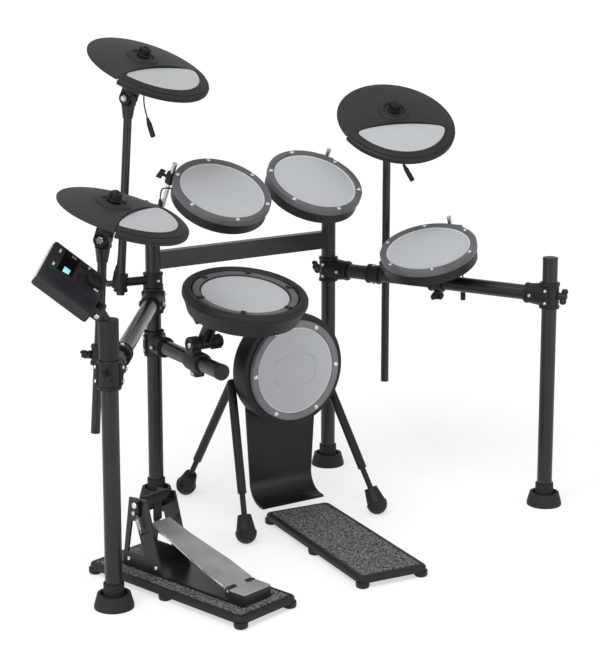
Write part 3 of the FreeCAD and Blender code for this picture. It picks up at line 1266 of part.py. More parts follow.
lug_parts = []
outer_reach = v.module_eye_width / 2 + v.cheek_gap + v.module_lug_width
for side in (-1, 1):
    lug_start = eye_shift + side * (outer_reach - v.module_lug_width / 2) - v.module_lug_width / 2
    lug_centre = point(v.module_height / 2 + v.module_eye_drop, lug_start, -v.module_depth / 2)
    lug_parts.append(rod(f"module_lug_{side + 1}", "module_eye_radius", "module_lug_width",
                         aim(lug_centre, Y_AXIS)))
    lug_parts.append(block(f"module_lug_root_{side + 1}",
                           ("module_eye_drop", "module_lug_width", "2 * module_eye_radius"),
                           lug_centre - point(v.module_eye_drop, 0, v.module_eye_radius)))
pin_start = point(v.module_height / 2 + v.module_eye_drop, eye_shift - outer_reach, -v.module_depth / 2)
lug_parts.append(rod("module_pin", "bolt_radius", "module_eye_width + 2 * cheek_gap + 2 * module_lug_width",
                     aim(pin_start, Y_AXIS)))
knob_spot = point(v.knob_down, v.knob_across, 0)
shaft_room = rod("module_shaft_room", "knob_shaft_radius + running_clearance",
                 "knob_shaft_depth + cut_overrun",
                 place(knob_spot - Z_AXIS * v.knob_shaft_depth))
module_box = cut("module_box", join("module_box_body", [case] + lug_parts), [shaft_room])
node("module_case", [moved(module_box, module_at)])
knob = join("module_dial", [
    rod("module_dial_cap", "knob_radius", "knob_height", place(knob_spot + Z_AXIS * v.seat_gap)),
    rod("module_dial_shaft", "knob_shaft_radius", "knob_shaft_depth",
        place(knob_spot - Z_AXIS * (v.knob_shaft_depth - v.seat_gap)))])
node("module_knob", [moved(knob, module_at)])


def lead(name, route):
    """Pigtail lead of a pad, with its inline socket on the far end."""
    points = [point(*spot) for spot in route]
    way = (points[-1] - points[-2]).normalize()
    cable = bent_tube(name + "_cable", points, v.lead_diameter / 2)
    neck = taper(name + "_neck", "socket_neck_radius", "socket_radius", "socket_neck", aim(points[-1], way))
    socket = rod(name + "_socket", "socket_radius", "socket_length",
                 aim(points[-1] + way * v.socket_neck, way))
    node(name + "_lead", [cable, join(name + "_plug", [neck, socket])])
    length = rounded_wire(points, None).Length
    print("lead", name, "length", round(length, 1), "area", round(cable.Shape.Volume / length, 3))


# Routes of the leads, from the underside of a pad to the back of its socket.
lead("crash", [
    (-295.34, -47.48, 1094.51), (-299.49, -37.31, 1070.95), (-296.0, -20.0, 1026.0), (-286.0, -22.0, 992.0)])
lead("hihat", [
    (-578.94, -458.62, 821.83), (-588.0, -456.9, 793.3), (-591.9, -461.8, 762.0), (-597.9, -463.8, 733.7)])
lead("ride", [
    (370.45, -160.58, 930.23), (374.55, -147.18, 908.32), (394.0, -126.0, 870.0), (412.0, -136.0, 834.0)])
lead("tom1", [
    (-257.02, -90.23, 822.32), (-272.5, -84.0, 826.0), (-283.0, -79.6, 820.0), (-284.0, -79.0, 797.0)])
lead("tom3", [
    (471.88, -314.92, 639.54), (479.76, -310.98, 615.33), (476.0, -314.0, 580.0), (474.0, -318.0, 546.0)])

doc.recompute()
faults = [item.Name for item in doc.Objects if "Invalid" in item.State or "Error" in item.State]
for name, item in nodes.items():
    if item.Shape.isNull() or not item.Shape.isValid() or not item.Shape.Solids:
        faults.append(name)
if faults:
    raise RuntimeError("faulty pieces: " + ", ".join(faults))

os.makedirs("parts", exist_ok=True)
whole = FreeCAD.BoundBox()
for name, item in nodes.items():
    item.Shape.exportStep(f"parts/{name}.step")
    if not name.endswith("_lead"):
        whole.add(item.Shape.BoundBox)
print("pieces", len(nodes), "box", [round(side, 2) for side in (whole.XMin, whole.YMin, whole.ZMin,
                                                              whole.XMax, whole.YMax, whole.ZMax)])
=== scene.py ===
import json
import math
import bmesh
import bpy
from mathutils import Matrix, Vector


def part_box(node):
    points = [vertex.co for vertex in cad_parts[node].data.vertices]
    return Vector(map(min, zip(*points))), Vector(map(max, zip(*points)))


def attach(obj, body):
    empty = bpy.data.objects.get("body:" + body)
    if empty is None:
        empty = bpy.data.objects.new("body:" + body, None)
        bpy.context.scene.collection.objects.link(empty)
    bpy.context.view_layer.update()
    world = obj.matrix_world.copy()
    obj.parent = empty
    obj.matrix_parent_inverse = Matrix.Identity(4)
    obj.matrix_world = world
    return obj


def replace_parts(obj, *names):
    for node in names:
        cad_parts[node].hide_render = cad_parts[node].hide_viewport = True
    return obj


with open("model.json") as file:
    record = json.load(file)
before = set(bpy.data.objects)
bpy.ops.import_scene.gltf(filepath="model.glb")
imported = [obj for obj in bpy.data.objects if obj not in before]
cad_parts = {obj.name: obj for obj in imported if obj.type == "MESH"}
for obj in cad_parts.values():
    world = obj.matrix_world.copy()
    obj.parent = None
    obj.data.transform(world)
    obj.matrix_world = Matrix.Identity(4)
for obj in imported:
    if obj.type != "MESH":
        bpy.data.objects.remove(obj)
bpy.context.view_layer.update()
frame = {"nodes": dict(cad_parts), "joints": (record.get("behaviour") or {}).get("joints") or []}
nodes = frame["nodes"]
joints = {joint["name"]: joint for joint in frame["joints"]}

# The view: a long lens from the player's left, a little above the cymbals.
# It looks down about eleven degrees and its frame is shifted, so the posts stay nearly upright.
photo_height = 670
focal_pixels = 1763.0
camera_data = bpy.data.cameras.new("view")
camera_data.sensor_width = 36.0
camera_data.lens = focal_pixels / photo_height * camera_data.sensor_width
camera_data.shift_y = -0.1493
camera_data.clip_end = 200.0
camera = bpy.data.objects.new("view", camera_data)
camera.location = (-2.1804, -3.4842, 1.521)
camera.rotation_euler = (math.radians(79.22), 0.0, math.radians(-32.7))
bpy.context.collection.objects.link(camera)
bpy.context.scene.camera = camera
bpy.context.scene.view_settings.view_transform = "Standard"


def placed(name, data):
    """New object in the scene."""
    item = bpy.data.objects.new(name, data)
    bpy.context.collection.objects.link(item)
    return item


def set_inputs(node, values):
    """Sets a node's inputs by name, with underscores for the spaces."""
    for name, value in values.items():
        node.inputs[name.replace("_", " ")].default_value = value


def new_material(name, **values):
    """Material with its node tree and its main shader, whose inputs are set by name."""
    material = bpy.data.materials.new(name)
    material.use_nodes = True
    shader = material.node_tree.nodes["Principled BSDF"]
    set_inputs(shader, values)
    return material, material.node_tree, shader


def new_node(tree, kind, operation=None, **values):
    """Node of a material, with its inputs set by name."""
    node = tree.nodes.new("ShaderNode" + kind)
    if operation:
        node.operation = operation
    set_inputs(node, values)
    return node


def two_shades(tree, positions, colours):
    """Ramp between two colours."""
    ramp = tree.nodes.new("ShaderNodeValToRGB")
    for element, position, colour in zip(ramp.color_ramp.elements, positions, colours):
        element.position = position
        element.color = (*colour, 1.0)
    return ramp


def link(tree, *joins):
    """Links nodes, each join given as node, output, node and input."""
    for source, output, target, entry in joins:
        tree.links.new(source.outputs[output], target.inputs[entry])


# Leads: five pads have a short black PVC pigtail that ends in a tapered, ridged inline socket.
# Each leaves the underside of its pad, hangs free and carries the socket by its own stiffness.
def moulded(name, colour, roughness, grain_scale, grain_depth, metallic=0.0, specular=0.25, drift=0.16):
    """Finish with a fine grain in its bump and slow drifts of shade and gloss over the piece."""
    material, tree, shader = new_material(name, Metallic=metallic, Specular_IOR_Level=specular)
    spots = new_node(tree, "TexCoord")
    grain = new_node(tree, "TexNoise", Scale=grain_scale, Detail=3.0)
    bump = new_node(tree, "Bump", Strength=0.4, Distance=grain_depth)
    wander = new_node(tree, "TexNoise", Scale=14.0, Detail=5.0)
    tones = [[part * share for part in colour] for share in (1 - drift, 1 + drift)]
    shade = two_shades(tree, (0.32, 0.68), tones)
    gloss = new_node(tree, "MapRange", From_Min=0.3, From_Max=0.7, To_Min=roughness * (1 - drift / 2),
                     To_Max=roughness * (1 + drift / 2))
    link(tree, (spots, "Object", grain, "Vector"), (spots, "Object", wander, "Vector"),
         (grain, "Fac", bump, "Height"), (bump, "Normal", shader, "Normal"), (wander, "Fac", shade, "Fac"),
         (shade, "Color", shader, "Base Color"), (wander, "Fac", gloss, "Value"),
         (gloss, "Result", shader, "Roughness"))
    return material


def finished_piece(name, shape, material, body, sharp_angle=35.0):
    """Turns a bmesh into a piece: merged, facing outwards, smooth but for its sharp edges."""
    bmesh.ops.remove_doubles(shape, verts=shape.verts, dist=1e-6)
    bmesh.ops.recalc_face_normals(shape, faces=shape.faces)
    for face in shape.faces:
        face.smooth = True
    for edge in shape.edges:
        edge.smooth = edge.calc_face_angle(0.0) < math.radians(sharp_angle)
    mesh = bpy.data.meshes.new(name)
    shape.to_mesh(mesh)
    shape.free()
    mesh.materials.append(material)
    piece = placed(name, mesh)
    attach(piece, body)
    return piece


def lathe(shape, outline, place, steps=64, start=0.0, sweep=math.tau):
    """Turns a closed outline of radii and heights about the Z axis of a place, whole or in part."""
    whole = sweep == math.tau
    held = set(shape.verts)
    first = Matrix.Rotation(start, 3, "Z")
    spots = [shape.verts.new(first @ Vector((radius, 0.0, height))) for radius, height in outline]
    rim = [shape.edges.new((spots[index - 1], spots[index])) for index in range(len(spots))]
    bmesh.ops.spin(shape, geom=spots + rim, cent=(0, 0, 0), axis=(0, 0, 1), dvec=(0, 0, 0), angle=sweep,
                   steps=steps, use_merge=whole)
    bmesh.ops.remove_doubles(shape, verts=[vert for vert in shape.verts if vert not in held], dist=1e-7)
    turned = [vert for vert in shape.verts if vert not in held]
    if not whole:
        lines = {line for vert in turned for line in vert.link_edges}
        bmesh.ops.holes_fill(shape, edges=[line for line in lines if line.is_boundary], sides=0)
    bmesh.ops.transform(shape, matrix=place, verts=turned)


def turned_piece(name, outline, place, material, body, steps=64):
    """Piece made of one turned outline."""
    shape = bmesh.new()
    lathe(shape, outline, place, steps)
    return finished_piece(name, shape, material, body)


def aimed(start, way):
    """Place whose Z axis runs from a point along a direction."""
    return Matrix.Translation(start) @ Vector((0, 0, 1)).rotation_difference(Vector(way)).to_matrix().to_4x4()


def round_wire(name, kind, points, radius, resolution):
    """Curve with a round section through points, and its spline."""
    curve = bpy.data.curves.new(name, "CURVE")
    curve.dimensions = "3D"
    curve.bevel_depth = radius
    curve.bevel_resolution = resolution
    curve.use_fill_caps = True
    spline = curve.splines.new(kind)
    spline.points.add(len(points) - 1)
    for spot, target in zip(spline.points, points):
        spot.co = (*target, 1.0)
    return curve, spline


sheath = moulded("lead_sheath", (0.012, 0.012, 0.012), 0.45, 1500.0, 0.0001)
socket_rubber = moulded("socket_rubber", (0.014, 0.014, 0.015), 0.5, 1200.0, 0.0001)
lead_diameter = 0.0036
kit_middle = Vector((0.122525, 0.375465, 0.0))
lead_routes = {
    "crash": ("crash_cymbal", 0.1091, [(-0.29534, -0.04748, 1.09451), (-0.29949, -0.03731, 1.07095),
                                       (-0.296, -0.02, 1.026), (-0.286, -0.022, 0.992)]),
    "hihat": ("hihat_cymbal", 0.0907, [(-0.57894, -0.45862, 0.82183), (-0.588, -0.4569, 0.7933),
                                       (-0.5919, -0.4618, 0.762), (-0.5979, -0.4638, 0.7337)]),
    "ride": ("ride_cymbal", 0.1137, [(0.37045, -0.16058, 0.93023), (0.37455, -0.14718, 0.90832),
                                     (0.394, -0.126, 0.87), (0.412, -0.136, 0.834)]),
    "tom1": ("tom1", 0.0515, [(-0.25702, -0.09023, 0.82232), (-0.2725, -0.084, 0.826),
                              (-0.283, -0.0796, 0.82), (-0.284, -0.079, 0.797)]),
    "tom3": ("tom3", 0.0953, [(0.47188, -0.31492, 0.63954), (0.47976, -0.31098, 0.61533),
                              (0.476, -0.314, 0.58), (0.474, -0.318, 0.546)]),
}
socket_outline = [(0.0, 0.0), (0.0032, 0.0), (0.0036, 0.001), (0.0046, 0.009), (0.0061, 0.0145),
                  (0.0066, 0.0165), (0.0066, 0.019), (0.0059, 0.0194), (0.0059, 0.0206), (0.0066, 0.021),
                  (0.0066, 0.0235), (0.0059, 0.0239), (0.0059, 0.0251), (0.0066, 0.0255), (0.0066, 0.047),
                  (0.0061, 0.0495), (0.005, 0.05), (0.0034, 0.05), (0.0034, 0.044), (0.0, 0.044)]
for lead_name, (body, length, route) in lead_routes.items():
    points = [Vector(spot) + kit_middle for spot in route]
    curve, spline = round_wire(lead_name + "_cable", "NURBS", points, lead_diameter / 2, 5)
    spline.order_u = 3
    spline.use_endpoint_u = True
    spline.resolution_u = 16
    curve.materials.append(sheath)
    cable = placed(lead_name + "_cable", curve)
    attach(cable, body)
    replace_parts(cable, lead_name + "_lead")
    socket_place = aimed(points[-1], points[-1] - points[-2])
    socket = turned_piece(lead_name + "_socket", socket_outline, socket_place, socket_rubber, body,
                          40)


# Rack: 38 mm steel posts, two arms and a flat bar, powder coated in a smooth satin black.
# The left arm is bare tube with a dark satin finish, and a plastic cap closes the right front post.
powder_coat = moulded("black_powder_coat", (0.009, 0.009, 0.0095), 0.3, 900.0, 0.00008, specular=0.4)
dark_tube = moulded("dark_satin_tube", (0.075, 0.072, 0.068), 0.3, 700.0, 0.00005, metallic=1.0)


def dress(node_name, material):
    """Gives a CAD piece its finish."""
    mesh = nodes[node_name].data
    mesh.materials.clear()
    mesh.materials.append(material)


for node_name in ("rear_frame", "left_front_post", "right_front_post", "right_arm", "crash_pole", "ride_pole",
                  "hihat_pole"):
    dress(node_name, powder_coat)
dress("left_arm", dark_tube)
tube_radius = 0.01905
frame_low, frame_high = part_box("rear_frame")
left_rear = Vector((frame_low[0] + tube_radius, frame_high[1] - tube_radius, 0.0))
right_rear = Vector((frame_high[0] - tube_radius, frame_high[1] - tube_radius, 0.0))


def post_foot(node_name):
    """Point on the floor under an upright post."""
    low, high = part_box(node_name)
    return Vector(((low[0] + high[0]) / 2, (low[1] + high[1]) / 2, 0.0))


left_front = post_foot("left_front_post")
right_front = post_foot("right_front_post")
left_way = (left_front - left_rear).normalized()
right_way = (right_front - right_rear).normalized()
black_cap = moulded("black_end_cap", (0.014, 0.014, 0.0145), 0.42, 1300.0, 0.0001)
cap_outline = [(0.0, -0.004), (0.0193, -0.004), (0.0193, 0.0), (0.0187, 0.0014), (0.0172, 0.0018),
               (0.0, 0.0018)]
right_post_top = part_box("right_front_post")[1][2]
cap_place = Matrix.Translation(right_front + Vector((0, 0, right_post_top)))
turned_piece("right_post_cap", cap_outline, cap_place, black_cap, "right_wing")


# Feet: moulded rubber bells with a raised collar, pushed over the lower end of each post.
# The kick tower's legs end in a steel rod with a cone and a rubber ball.
foot_rubber = moulded("black_foot_rubber", (0.013, 0.013, 0.013), 0.62, 1100.0, 0.0002)
for node_name in ("rear_feet", "left_front_foot", "right_front_foot"):
    dress(node_name, foot_rubber)
leg_rubber = moulded("black_leg_rubber", (0.012, 0.012, 0.0125), 0.55, 1100.0, 0.0002)
ball_radius = 0.026
rod_radius = 0.007
for leg in ("front_left", "front_right", "rear_left", "rear_right"):
    node_name = "kick_leg_" + leg
    low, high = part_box(node_name)
    slide = next(joint for name, joint in joints.items() if name.startswith(node_name))
    way = Vector(slide["axis"]).normalized()
    if way.z < 0:
        way.negate()
    ball = Vector((low[0] + ball_radius if leg.endswith("left") else high[0] - ball_radius,
                   low[1] + ball_radius if leg.startswith("front") else high[1] - ball_radius, ball_radius))
    rod_length = (high[2] - ball_radius) / way.z - 0.004
    arc = [(ball_radius * math.cos(math.radians(angle)), ball_radius * math.sin(math.radians(angle)))
           for angle in range(-80, 1, 10)]
    leg_outline = [(0.0, -ball_radius)] + arc
    leg_outline += [(0.0264, 0.0012), (0.0264, 0.0034), (0.0252, 0.0046), (0.0238, 0.005), (0.0165, 0.0425),
                    (0.0155, 0.0435), (rod_radius, 0.0437), (rod_radius, rod_length), (0.0, rod_length)]
    leg_foot = turned_piece(node_name + "_foot", leg_outline, aimed(ball, way), leg_rubber, node_name,
                            48)
    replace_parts(leg_foot, node_name)


# Clamps: glass-filled nylon shells bolted round the tubes, with steel cap screws and black wing bolts.
# Each flares round its post, has a raised band at both ends and ears where its halves are screwed together.
nylon = moulded("black_nylon", (0.0095, 0.0095, 0.01), 0.44, 1400.0, 0.00015)
bright_steel = moulded("bright_steel", (0.66, 0.66, 0.67), 0.24, 1800.0, 0.00004, metallic=1.0, drift=0.1)
for node_name in ("rear_clamps", "left_clamps", "right_clamps"):
    dress(node_name, nylon)
tube_bore = 0.0195


def bar(shape, low, high, place, edge):
    """Bar between two corners in a place, with its edges rounded."""
    low = Vector(low)
    high = Vector(high)
    held = set(shape.verts)
    made = bmesh.ops.create_cube(shape, size=1.0)["verts"]
    stretch = Matrix.Translation((low + high) / 2) @ Matrix.Diagonal((*(high - low), 1.0))
    bmesh.ops.transform(shape, matrix=stretch, verts=made)
    lines = list({line for vert in made for line in vert.link_edges})
    bmesh.ops.bevel(shape, geom=lines, offset=edge, offset_type="OFFSET", affect="EDGES", segments=3,
                    profile=0.5, material=-1)
    bmesh.ops.transform(shape, matrix=place, verts=[vert for vert in shape.verts if vert not in held])


def wing_head(shape, start, way):
    """Two-lobed head of a wing bolt with its collar."""
    place = aimed(start, way)
    collar = [(0.0, 0.004), (0.0088, 0.004), (0.0095, 0.005), (0.0095, 0.009), (0.0078, 0.0115),
              (0.0078, 0.0235), (0.0068, 0.0258), (0.0, 0.0262)]
    lathe(shape, collar, place, 28)
    for side in (-1, 1):
        lobe = bmesh.ops.create_uvsphere(shape, u_segments=20, v_segments=12, radius=1.0)["verts"]
        shift = place @ Matrix.Translation((0.0, side * 0.0125, 0.0185))
        bmesh.ops.transform(shape, matrix=shift @ Matrix.Diagonal((0.0046, 0.0085, 0.0092, 1.0)), verts=lobe)
        bar(shape, (-0.0036, min(0.0, side * 0.0125), 0.012), (0.0036, max(0.0, side * 0.0125), 0.0245),
            place, 0.0012)


def cap_screw(shape, start, way, radius=0.0042):
    """Socket cap screw: a domed round head with a recess."""
    head = [(0.0, -0.001), (radius, -0.001), (radius, 0.0024), (radius * 0.86, 0.0034),
            (radius * 0.56, 0.0037), (radius * 0.5, 0.0034), (radius * 0.5, 0.0016), (0.0, 0.0016)]
    lathe(shape, head, aimed(start, way), 24)


def band(shape, bore, rim, height, place):
    """Raised band round a tube or a clamp, with its outer corners broken."""
    outline = [(bore, 0.0), (rim - 0.0006, 0.0), (rim, 0.0008), (rim, height - 0.0008),
               (rim - 0.0006, height), (bore, height)]
    lathe(shape, outline, place)


def tee_details(bands, screws, post, level, way):
    """Bands, screwed ears and wing head of one tee clamp."""
    middle = post + Vector((0, 0, level))
    side = Vector((-way.y, way.x, 0.0))
    for height in (-0.0325, 0.0255):
        band(bands, tube_bore, 0.0258, 0.007, Matrix.Translation(middle + Vector((0, 0, height))))
    band(bands, tube_bore, 0.0262, 0.0072, aimed(middle + way * 0.0555, way))
    for turn in (-1, 1):
        ear = Matrix((way, side * turn, Vector((0, 0, 1)))).transposed().to_4x4()
        ear.translation = middle
        bar(bands, (-0.007, 0.0215, -0.024), (0.007, 0.0292, 0.024), ear, 0.0022)
        bar(bands, (0.032, 0.0225, -0.0065), (0.052, 0.0298, 0.0065), ear, 0.002)
        for height in (-0.0155, 0.0155):
            cap_screw(screws, middle + side * turn * 0.0288 + Vector((0, 0, height)), side * turn)
        cap_screw(screws, middle + way * 0.042 + side * turn * 0.0294, side * turn)
    wing_head(bands, middle - way * 0.02, -way)


def jaw_details(bands, screws, tube, tube_way, pole, pole_way):
    """Bands, screws and wing head of one pole clamp."""
    across = (pole - tube).normalized()
    lift = across.cross(tube_way).normalized()
    for shift in (-0.0178, 0.0118):
        band(bands, tube_bore, 0.0257, 0.006, aimed(tube + tube_way * shift, tube_way))
    for shift in (-0.0225, 0.0155):
        band(bands, 0.0108, 0.0177, 0.007, aimed(pole + pole_way * shift, pole_way))
    for turn in (-1, 1):
        cap_screw(screws, tube + lift * turn * 0.0238 - across * 0.004, lift * turn)
    wing_head(bands, pole + across * 0.012, across)


left_arm_level = 0.526
right_arm_level = 0.547
crash_clamp_level = 0.579
right_side = Vector((-right_way.y, right_way.x, 0.0))


def pole_point(cymbal, level):
    """Point of a cymbal pole's axis at a height, and the way up the pole."""
    hinge = Vector(joints[cymbal + "_tilt"]["pos_m"])
    way = Vector(joints[cymbal + "_height"]["axis"]).normalized()
    if way.z < 0:
        way.negate()
    return hinge + way * ((level - hinge.z) / way.z), way


for wing, cymbal, rear, front, way, level in (
        ("left", "hihat", left_rear, left_front, left_way, left_arm_level),
        ("right", "ride", right_rear, right_front, right_way, right_arm_level)):
    bands = bmesh.new()
    screws = bmesh.new()
    tee_details(bands, screws, rear, level, way)
    tee_details(bands, screws, front, level, -way)
    pole, pole_way = pole_point(cymbal, level)
    tube = rear + way * (pole - rear).dot(way) + Vector((0, 0, level))
    jaw_details(bands, screws, tube, way, pole, pole_way)
    if wing == "right":
        floor_grip = rear + way * 0.326 + Vector((0, 0, level))
        for shift in (-0.0186, 0.0126):
            band(bands, tube_bore, 0.0257, 0.006, aimed(floor_grip + way * shift, way))
        wing_head(bands, floor_grip - Vector((0, 0, 0.02)), Vector((0, 0, -1)))
        for turn in (-1, 1):
            cap_screw(screws, floor_grip + right_side * turn * 0.0238, right_side * turn)
    finished_piece(wing + "_clamp_details", bands, nylon, wing + "_wing")
    finished_piece(wing + "_clamp_screws", screws, bright_steel, wing + "_wing")
rear_bands = bmesh.new()
rear_screws = bmesh.new()
crash_pole, crash_way = pole_point("crash", crash_clamp_level)
jaw_details(rear_bands, rear_screws, left_rear + Vector((0, 0, crash_clamp_level)), Vector((0, 0, 1)),
            crash_pole, crash_way)
rod_level = 0.757
for post in (left_rear, right_rear):
    band(rear_bands, tube_bore, 0.024, 0.007, Matrix.Translation(post + Vector((0, 0, 0.7135))))
    wing_head(rear_bands, post + Vector((0, 0.01, rod_level)), Vector((0, 1, 0)))
    cap_screw(rear_screws, post + Vector((0, -0.0222, 0.727)), Vector((0, -1, 0)))
finished_piece("rear_clamp_details", rear_bands, nylon, "rack")
finished_piece("rear_clamp_screws", rear_screws, bright_steel, "rack")


# Snare arm: a level tube from a moulded tee clamp on the left rear post, with a short clamp for the snare.
# A hinge boss, a ribbed hand nut and a slanting fork on the clamp carry the pin under the snare's shell.
arm_bands = bmesh.new()
arm_screws = bmesh.new()
arm_way = Vector((0, -1, 0))
snare_arm_level = 0.415
tee_details(arm_bands, arm_screws, left_rear, snare_arm_level, arm_way)
snare_hinge = Vector(joints["snare_tilt"]["pos_m"])
arm_end = left_rear.y - 0.344
grip_length = 0.072
grip = Vector((left_rear.x, left_rear.y - 0.218, snare_arm_level))
grip_near = grip - arm_way * grip_length / 2
grip_far = grip + arm_way * grip_length / 2
arm_root = Vector((left_rear.x, left_rear.y, snare_arm_level))
for spot in (arm_root + arm_way * 0.064, grip_far):
    band(arm_bands, 0.0193, 0.0218, 0.004, aimed(spot, arm_way))
post_ring = [(0.0195, -0.0325), (0.0246, -0.0325), (0.0246, 0.0325), (0.0195, 0.0325)]
lathe(arm_bands, post_ring, Matrix.Translation(arm_root))
arm_socket = [(0.0192, 0.0205), (0.0272, 0.0205), (0.0268, 0.034), (0.0252, 0.056), (0.0252, 0.063),
              (0.0192, 0.063)]
lathe(arm_bands, arm_socket, aimed(arm_root, arm_way))
grip_ring = [(0.0194, 0.0), (0.0208, 0.0), (0.0222, 0.0012), (0.0256, 0.0125), (0.0264, 0.019),
             (0.0264, 0.054), (0.0258, 0.066), (0.0246, 0.0715), (0.0194, 0.072)]
lathe(arm_bands, grip_ring, aimed(grip_near, arm_way))
eye_rise = 0.042
eye_spot = grip + Vector((0, 0, eye_rise))
at_grip = Matrix.Translation(grip)
bar(arm_bands, (-0.0195, -0.0185, 0.0), (0.006, 0.0185, eye_rise), at_grip, 0.004)
bar(arm_bands, (-0.011, -0.0165, -0.0375), (0.014, 0.013, -0.018), at_grip, 0.003)
eye_disc = [(0.0, 0.0), (0.0194, 0.0), (0.0206, 0.0014), (0.0206, 0.0228), (0.0194, 0.0246), (0.0136, 0.0248),
            (0.0128, 0.0238), (0.0128, 0.0212), (0.0, 0.0212)]
lathe(arm_bands, eye_disc, aimed(eye_spot + Vector((0.004, 0, 0)), (-1, 0, 0)), 56)
cap_screw(arm_screws, eye_spot - Vector((0.017, 0, 0)), (-1, 0, 0), 0.0066)
cap_screw(arm_screws, grip + Vector((-0.0108, -0.0015, -0.029)), (-1, 0, 0), 0.005)
hinge_barrel = [(0.0, 0.002), (0.0145, 0.002), (0.0145, 0.036), (0.0, 0.036)]
lathe(arm_bands, hinge_barrel, aimed(eye_spot, (1, 0, 0)), 40)
hand_nut = [(0.0, 0.0365), (0.0128, 0.0365), (0.0152, 0.0395), (0.0158, 0.0655), (0.0146, 0.0695),
            (0.0, 0.07)]
nut_place = aimed(eye_spot, (1, 0, 0))
lathe(arm_bands, hand_nut, nut_place, 40)
nut_ribs = 12
for rib in range(nut_ribs):
    rib_turn = Matrix.Rotation(math.tau * rib / nut_ribs, 4, "Z")
    bar(arm_bands, (0.0138, -0.0019, 0.041), (0.0182, 0.0019, 0.0667), nut_place @ rib_turn, 0.0009)
reach_way = (snare_hinge - eye_spot).normalized()
reach_length = (snare_hinge - eye_spot).length
fork_root = reach_length - 0.03
cross_low = reach_length - 0.046
cross_high = reach_length - 0.026
fork_place = Matrix((Vector((1, 0, 0)), reach_way.cross(Vector((1, 0, 0))), reach_way)).transposed().to_4x4()
fork_place.translation = eye_spot
bar(arm_bands, (0.0045, -0.0115, 0.0), (0.0135, 0.0115, fork_root), fork_place, 0.003)
bar(arm_bands, (0.0245, -0.0115, 0.0), (0.0335, 0.0115, fork_root), fork_place, 0.003)
bar(arm_bands, (0.009, -0.006, 0.012), (0.029, 0.006, fork_root), fork_place, 0.002)
bar(arm_bands, (-0.0342, -0.0105, cross_low), (0.0342, 0.0105, cross_high), fork_place, 0.003)
pin_disc = [(0.0, 0.0), (0.0138, 0.0), (0.0138, 0.0112), (0.0128, 0.0122), (0.0098, 0.0122), (0.0092, 0.011),
            (0.0, 0.011)]
for turn in (-1, 1):
    near = min(turn * 0.0226, turn * 0.0342)
    bar(arm_bands, (near, -0.0105, fork_root), (near + 0.0116, 0.0105, reach_length), fork_place, 0.002)
    lathe(arm_bands, pin_disc, aimed(snare_hinge + Vector((turn * 0.0226, 0, 0)), (turn, 0, 0)), 40)
    cap_screw(arm_screws, snare_hinge + Vector((turn * 0.0342, 0, 0)), (turn, 0, 0), 0.0056)
pin_outline = [(0.0, -0.024), (0.0048, -0.024), (0.0048, 0.024), (0.0, 0.024)]
lathe(arm_bands, pin_outline, aimed(snare_hinge, (1, 0, 0)), 32)
arm_clamps = finished_piece("snare_arm_clamps", arm_bands, nylon, "snare_arm")
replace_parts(arm_clamps, "snare_arm")
finished_piece("snare_arm_screws", arm_screws, bright_steel, "snare_arm")
tube_start = left_rear.y - 0.03
tube_run = tube_start - arm_end - 0.012
tube_outline = [(0.0, 0.0), (tube_radius, 0.0), (tube_radius, tube_run), (0.0, tube_run)]
tube_place = aimed((left_rear.x, tube_start, snare_arm_level), arm_way)
turned_piece("snare_arm_tube", tube_outline, tube_place, dark_tube, "snare_arm")
end_outline = [(0.0, -0.0125), (0.0196, -0.0125), (0.0199, -0.012), (0.0199, 0.0), (0.0192, 0.0012),
               (0.0, 0.0012)]
end_place = aimed((left_rear.x, arm_end, snare_arm_level), arm_way)
turned_piece("snare_arm_cap", end_outline, end_place, black_cap, "snare_arm")


# Cymbals: a charcoal rubber bow with a low bell ring, a thick grooved rubber rim round the mesh half,
# and a pale mesh lens with round corners. A ribbed nut stops the pad, and a tilter carries it on its pole.
bow_rubber = moulded("charcoal_bow", (0.02, 0.02, 0.021), 0.5, 1600.0, 0.0002)
rim_rubber = moulded("charcoal_rim", (0.016, 0.0165, 0.017), 0.58, 1300.0, 0.0002)


def woven(name, colour, thread, place):
    """Fine woven mesh: two crossed thread waves make its bump, its gaps and a slight shade."""
    material, tree, shader = new_material(name, Roughness=0.6, Specular_IOR_Level=0.3, Sheen_Weight=0.1)
    spots = new_node(tree, "TexCoord")
    lay = new_node(tree, "Mapping", Rotation=place.to_3x3().inverted().to_euler())
    crossing = new_node(tree, "Math", "MULTIPLY")
    for index, direction in enumerate(("X", "Y")):
        wave = new_node(tree, "TexWave", Scale=1.0 / (thread * math.pi), Distortion=0.3)
        wave.bands_direction = direction
        link(tree, (lay, "Vector", wave, "Vector"), (wave, "Fac", crossing, index))
    soil = new_node(tree, "TexNoise", Scale=9.0, Detail=4.0)
    blend = new_node(tree, "Math", "MULTIPLY_ADD")
    blend.inputs[1].default_value = 0.35
    tones = [[part * share for part in colour] for share in (0.88, 1.1)]
    shade = two_shades(tree, (0.12, 0.8), tones)
    bump = new_node(tree, "Bump", Strength=0.25, Distance=0.0002)
    link(tree, (spots, "Object", lay, "Vector"), (lay, "Vector", soil, "Vector"), (soil, "Fac", blend, 0),
         (crossing, "Value", blend, 2), (blend, "Value", shade, "Fac"),
         (shade, "Color", shader, "Base Color"), (crossing, "Value", bump, "Height"),
         (bump, "Normal", shader, "Normal"))
    return material


